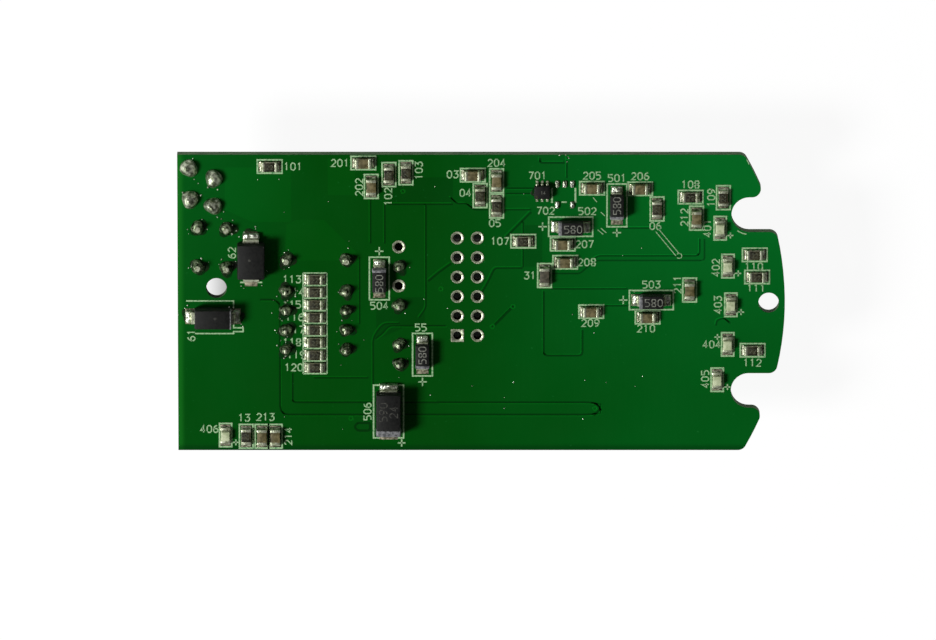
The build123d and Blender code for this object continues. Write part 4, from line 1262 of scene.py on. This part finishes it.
def table_finish():
    finish = Finish("white_table", Roughness=0.9, Specular_IOR_Level=0.0, Emission_Strength=1.0)
    seen = sum(rays(finish))
    below = finish.node("NewGeometry", output="Backfacing")
    place = finish.node("TexCoord", output=3)
    middle, half = (BOARD_LOW + BOARD_HIGH) / 2000, (BOARD_HIGH - BOARD_LOW) / 2000
    nose_inset, fade_start, fade_width = 0.010, 0.009, 0.007
    middle.x, half.x = middle.x - nose_inset / 2, half.x - nose_inset / 2
    away = [abs(finish.node("SeparateXYZ", {}, {0: place}, k) - middle[k]) - (half[k] - fade_start)
            for k in (0, 1)]
    across, along = [part.sum("MAXIMUM", part, 0) for part in away]
    clear = step(finish, across.sum("POWER", across * across + along * along, 0.5), 0, fade_width)
    glow = finish.mix(clear, paint(0, 0, 0), paint(247, 247, 247))
    return finish.set(Base_Color=finish.mix(seen, paint(236, 236, 236), paint(84, 84, 84)),
                      Emission_Color=finish.mix(seen, paint(0, 0, 0), glow), Alpha=1 - below)


TABLE_GAP = 0.0001
floor = bpy.data.objects.new("table", bpy.data.meshes.new("table"))
sheet = bmesh.new()
bmesh.ops.create_grid(sheet, size=3)
sheet.to_mesh(floor.data)
sheet.free()
floor.location.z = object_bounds()[0][2] - TABLE_GAP
floor.data.materials.append(table_finish().material)
bpy.context.collection.objects.link(floor)

# %% Sky and lamp
sky = Finish("studio", bpy.data.worlds.new("studio"), Color=(1, 1, 1, 1))
bpy.context.scene.world = sky.material
direction = sky.node("TexCoord", output="Generated")
rise, side = [sky.node("SeparateXYZ", {}, {0: direction}, k) for k in (2, 0)]
level = (1 - step(sky, rise, 0, 0.75) * 0.97) * (1 - step(sky, side, -0.5, 0.8) * 0.6)
camera_ray, glossy_ray, clear_ray = rays(sky)
backdrop = camera_ray + clear_ray + glossy_ray * (1 - step(sky, rise, 0, 0.35))
sky.set(Strength=level.sum("MAXIMUM", level, backdrop))

middle = (Vector(cad_low) + Vector(cad_high)) / 2
lamp = bpy.data.objects.new("window_lamp", bpy.data.lights.new("window_lamp", "AREA"))
LAMP_SIZE, LAMP_POWER = 0.26, 11.2
lamp.data.size, lamp.data.energy = LAMP_SIZE, LAMP_POWER
towards = Vector((-1.0, -0.3, 0.95)).normalized()
lamp.location = middle + towards
lamp.rotation_euler = towards.to_track_quat("Z", "Y").to_euler()
bpy.context.collection.objects.link(lamp)

# %% [markdown]
# The camera looks almost straight down through a long lens. It stands a little to the far side of
# the board, so the far sides of the parts show as dark strips along their upper edges.

# %% Camera
TILT, DISTANCE, FRAME_WIDTH = 14.0, 2.0, 0.1184
SHIFT_X, SHIFT_Y = -0.00168, -0.00219
camera = bpy.data.objects.new("camera", bpy.data.cameras.new("camera"))
camera.data.lens = camera.data.sensor_width * DISTANCE / FRAME_WIDTH
camera.rotation_euler = (math.radians(-TILT), 0, 0)
turn = camera.rotation_euler.to_matrix()
board_middle = (BOARD_LOW + BOARD_HIGH) / 2000
board_middle.z = 0
camera.location = board_middle + turn @ Vector((SHIFT_X, SHIFT_Y, DISTANCE))
camera.data.clip_start, camera.data.clip_end = 0.02, 20
bpy.context.collection.objects.link(camera)
bpy.context.scene.camera = camera
bpy.context.scene.view_settings.view_transform = "Standard"

# %% [markdown]
# ## The measured size
# The dressed board must stay inside the measured one. Only the measured board's size is printed.

# %% Print the measured size
print("measured, mm:", [round(1000 * (b - a), 2) for a, b in zip(cad_low, cad_high)])
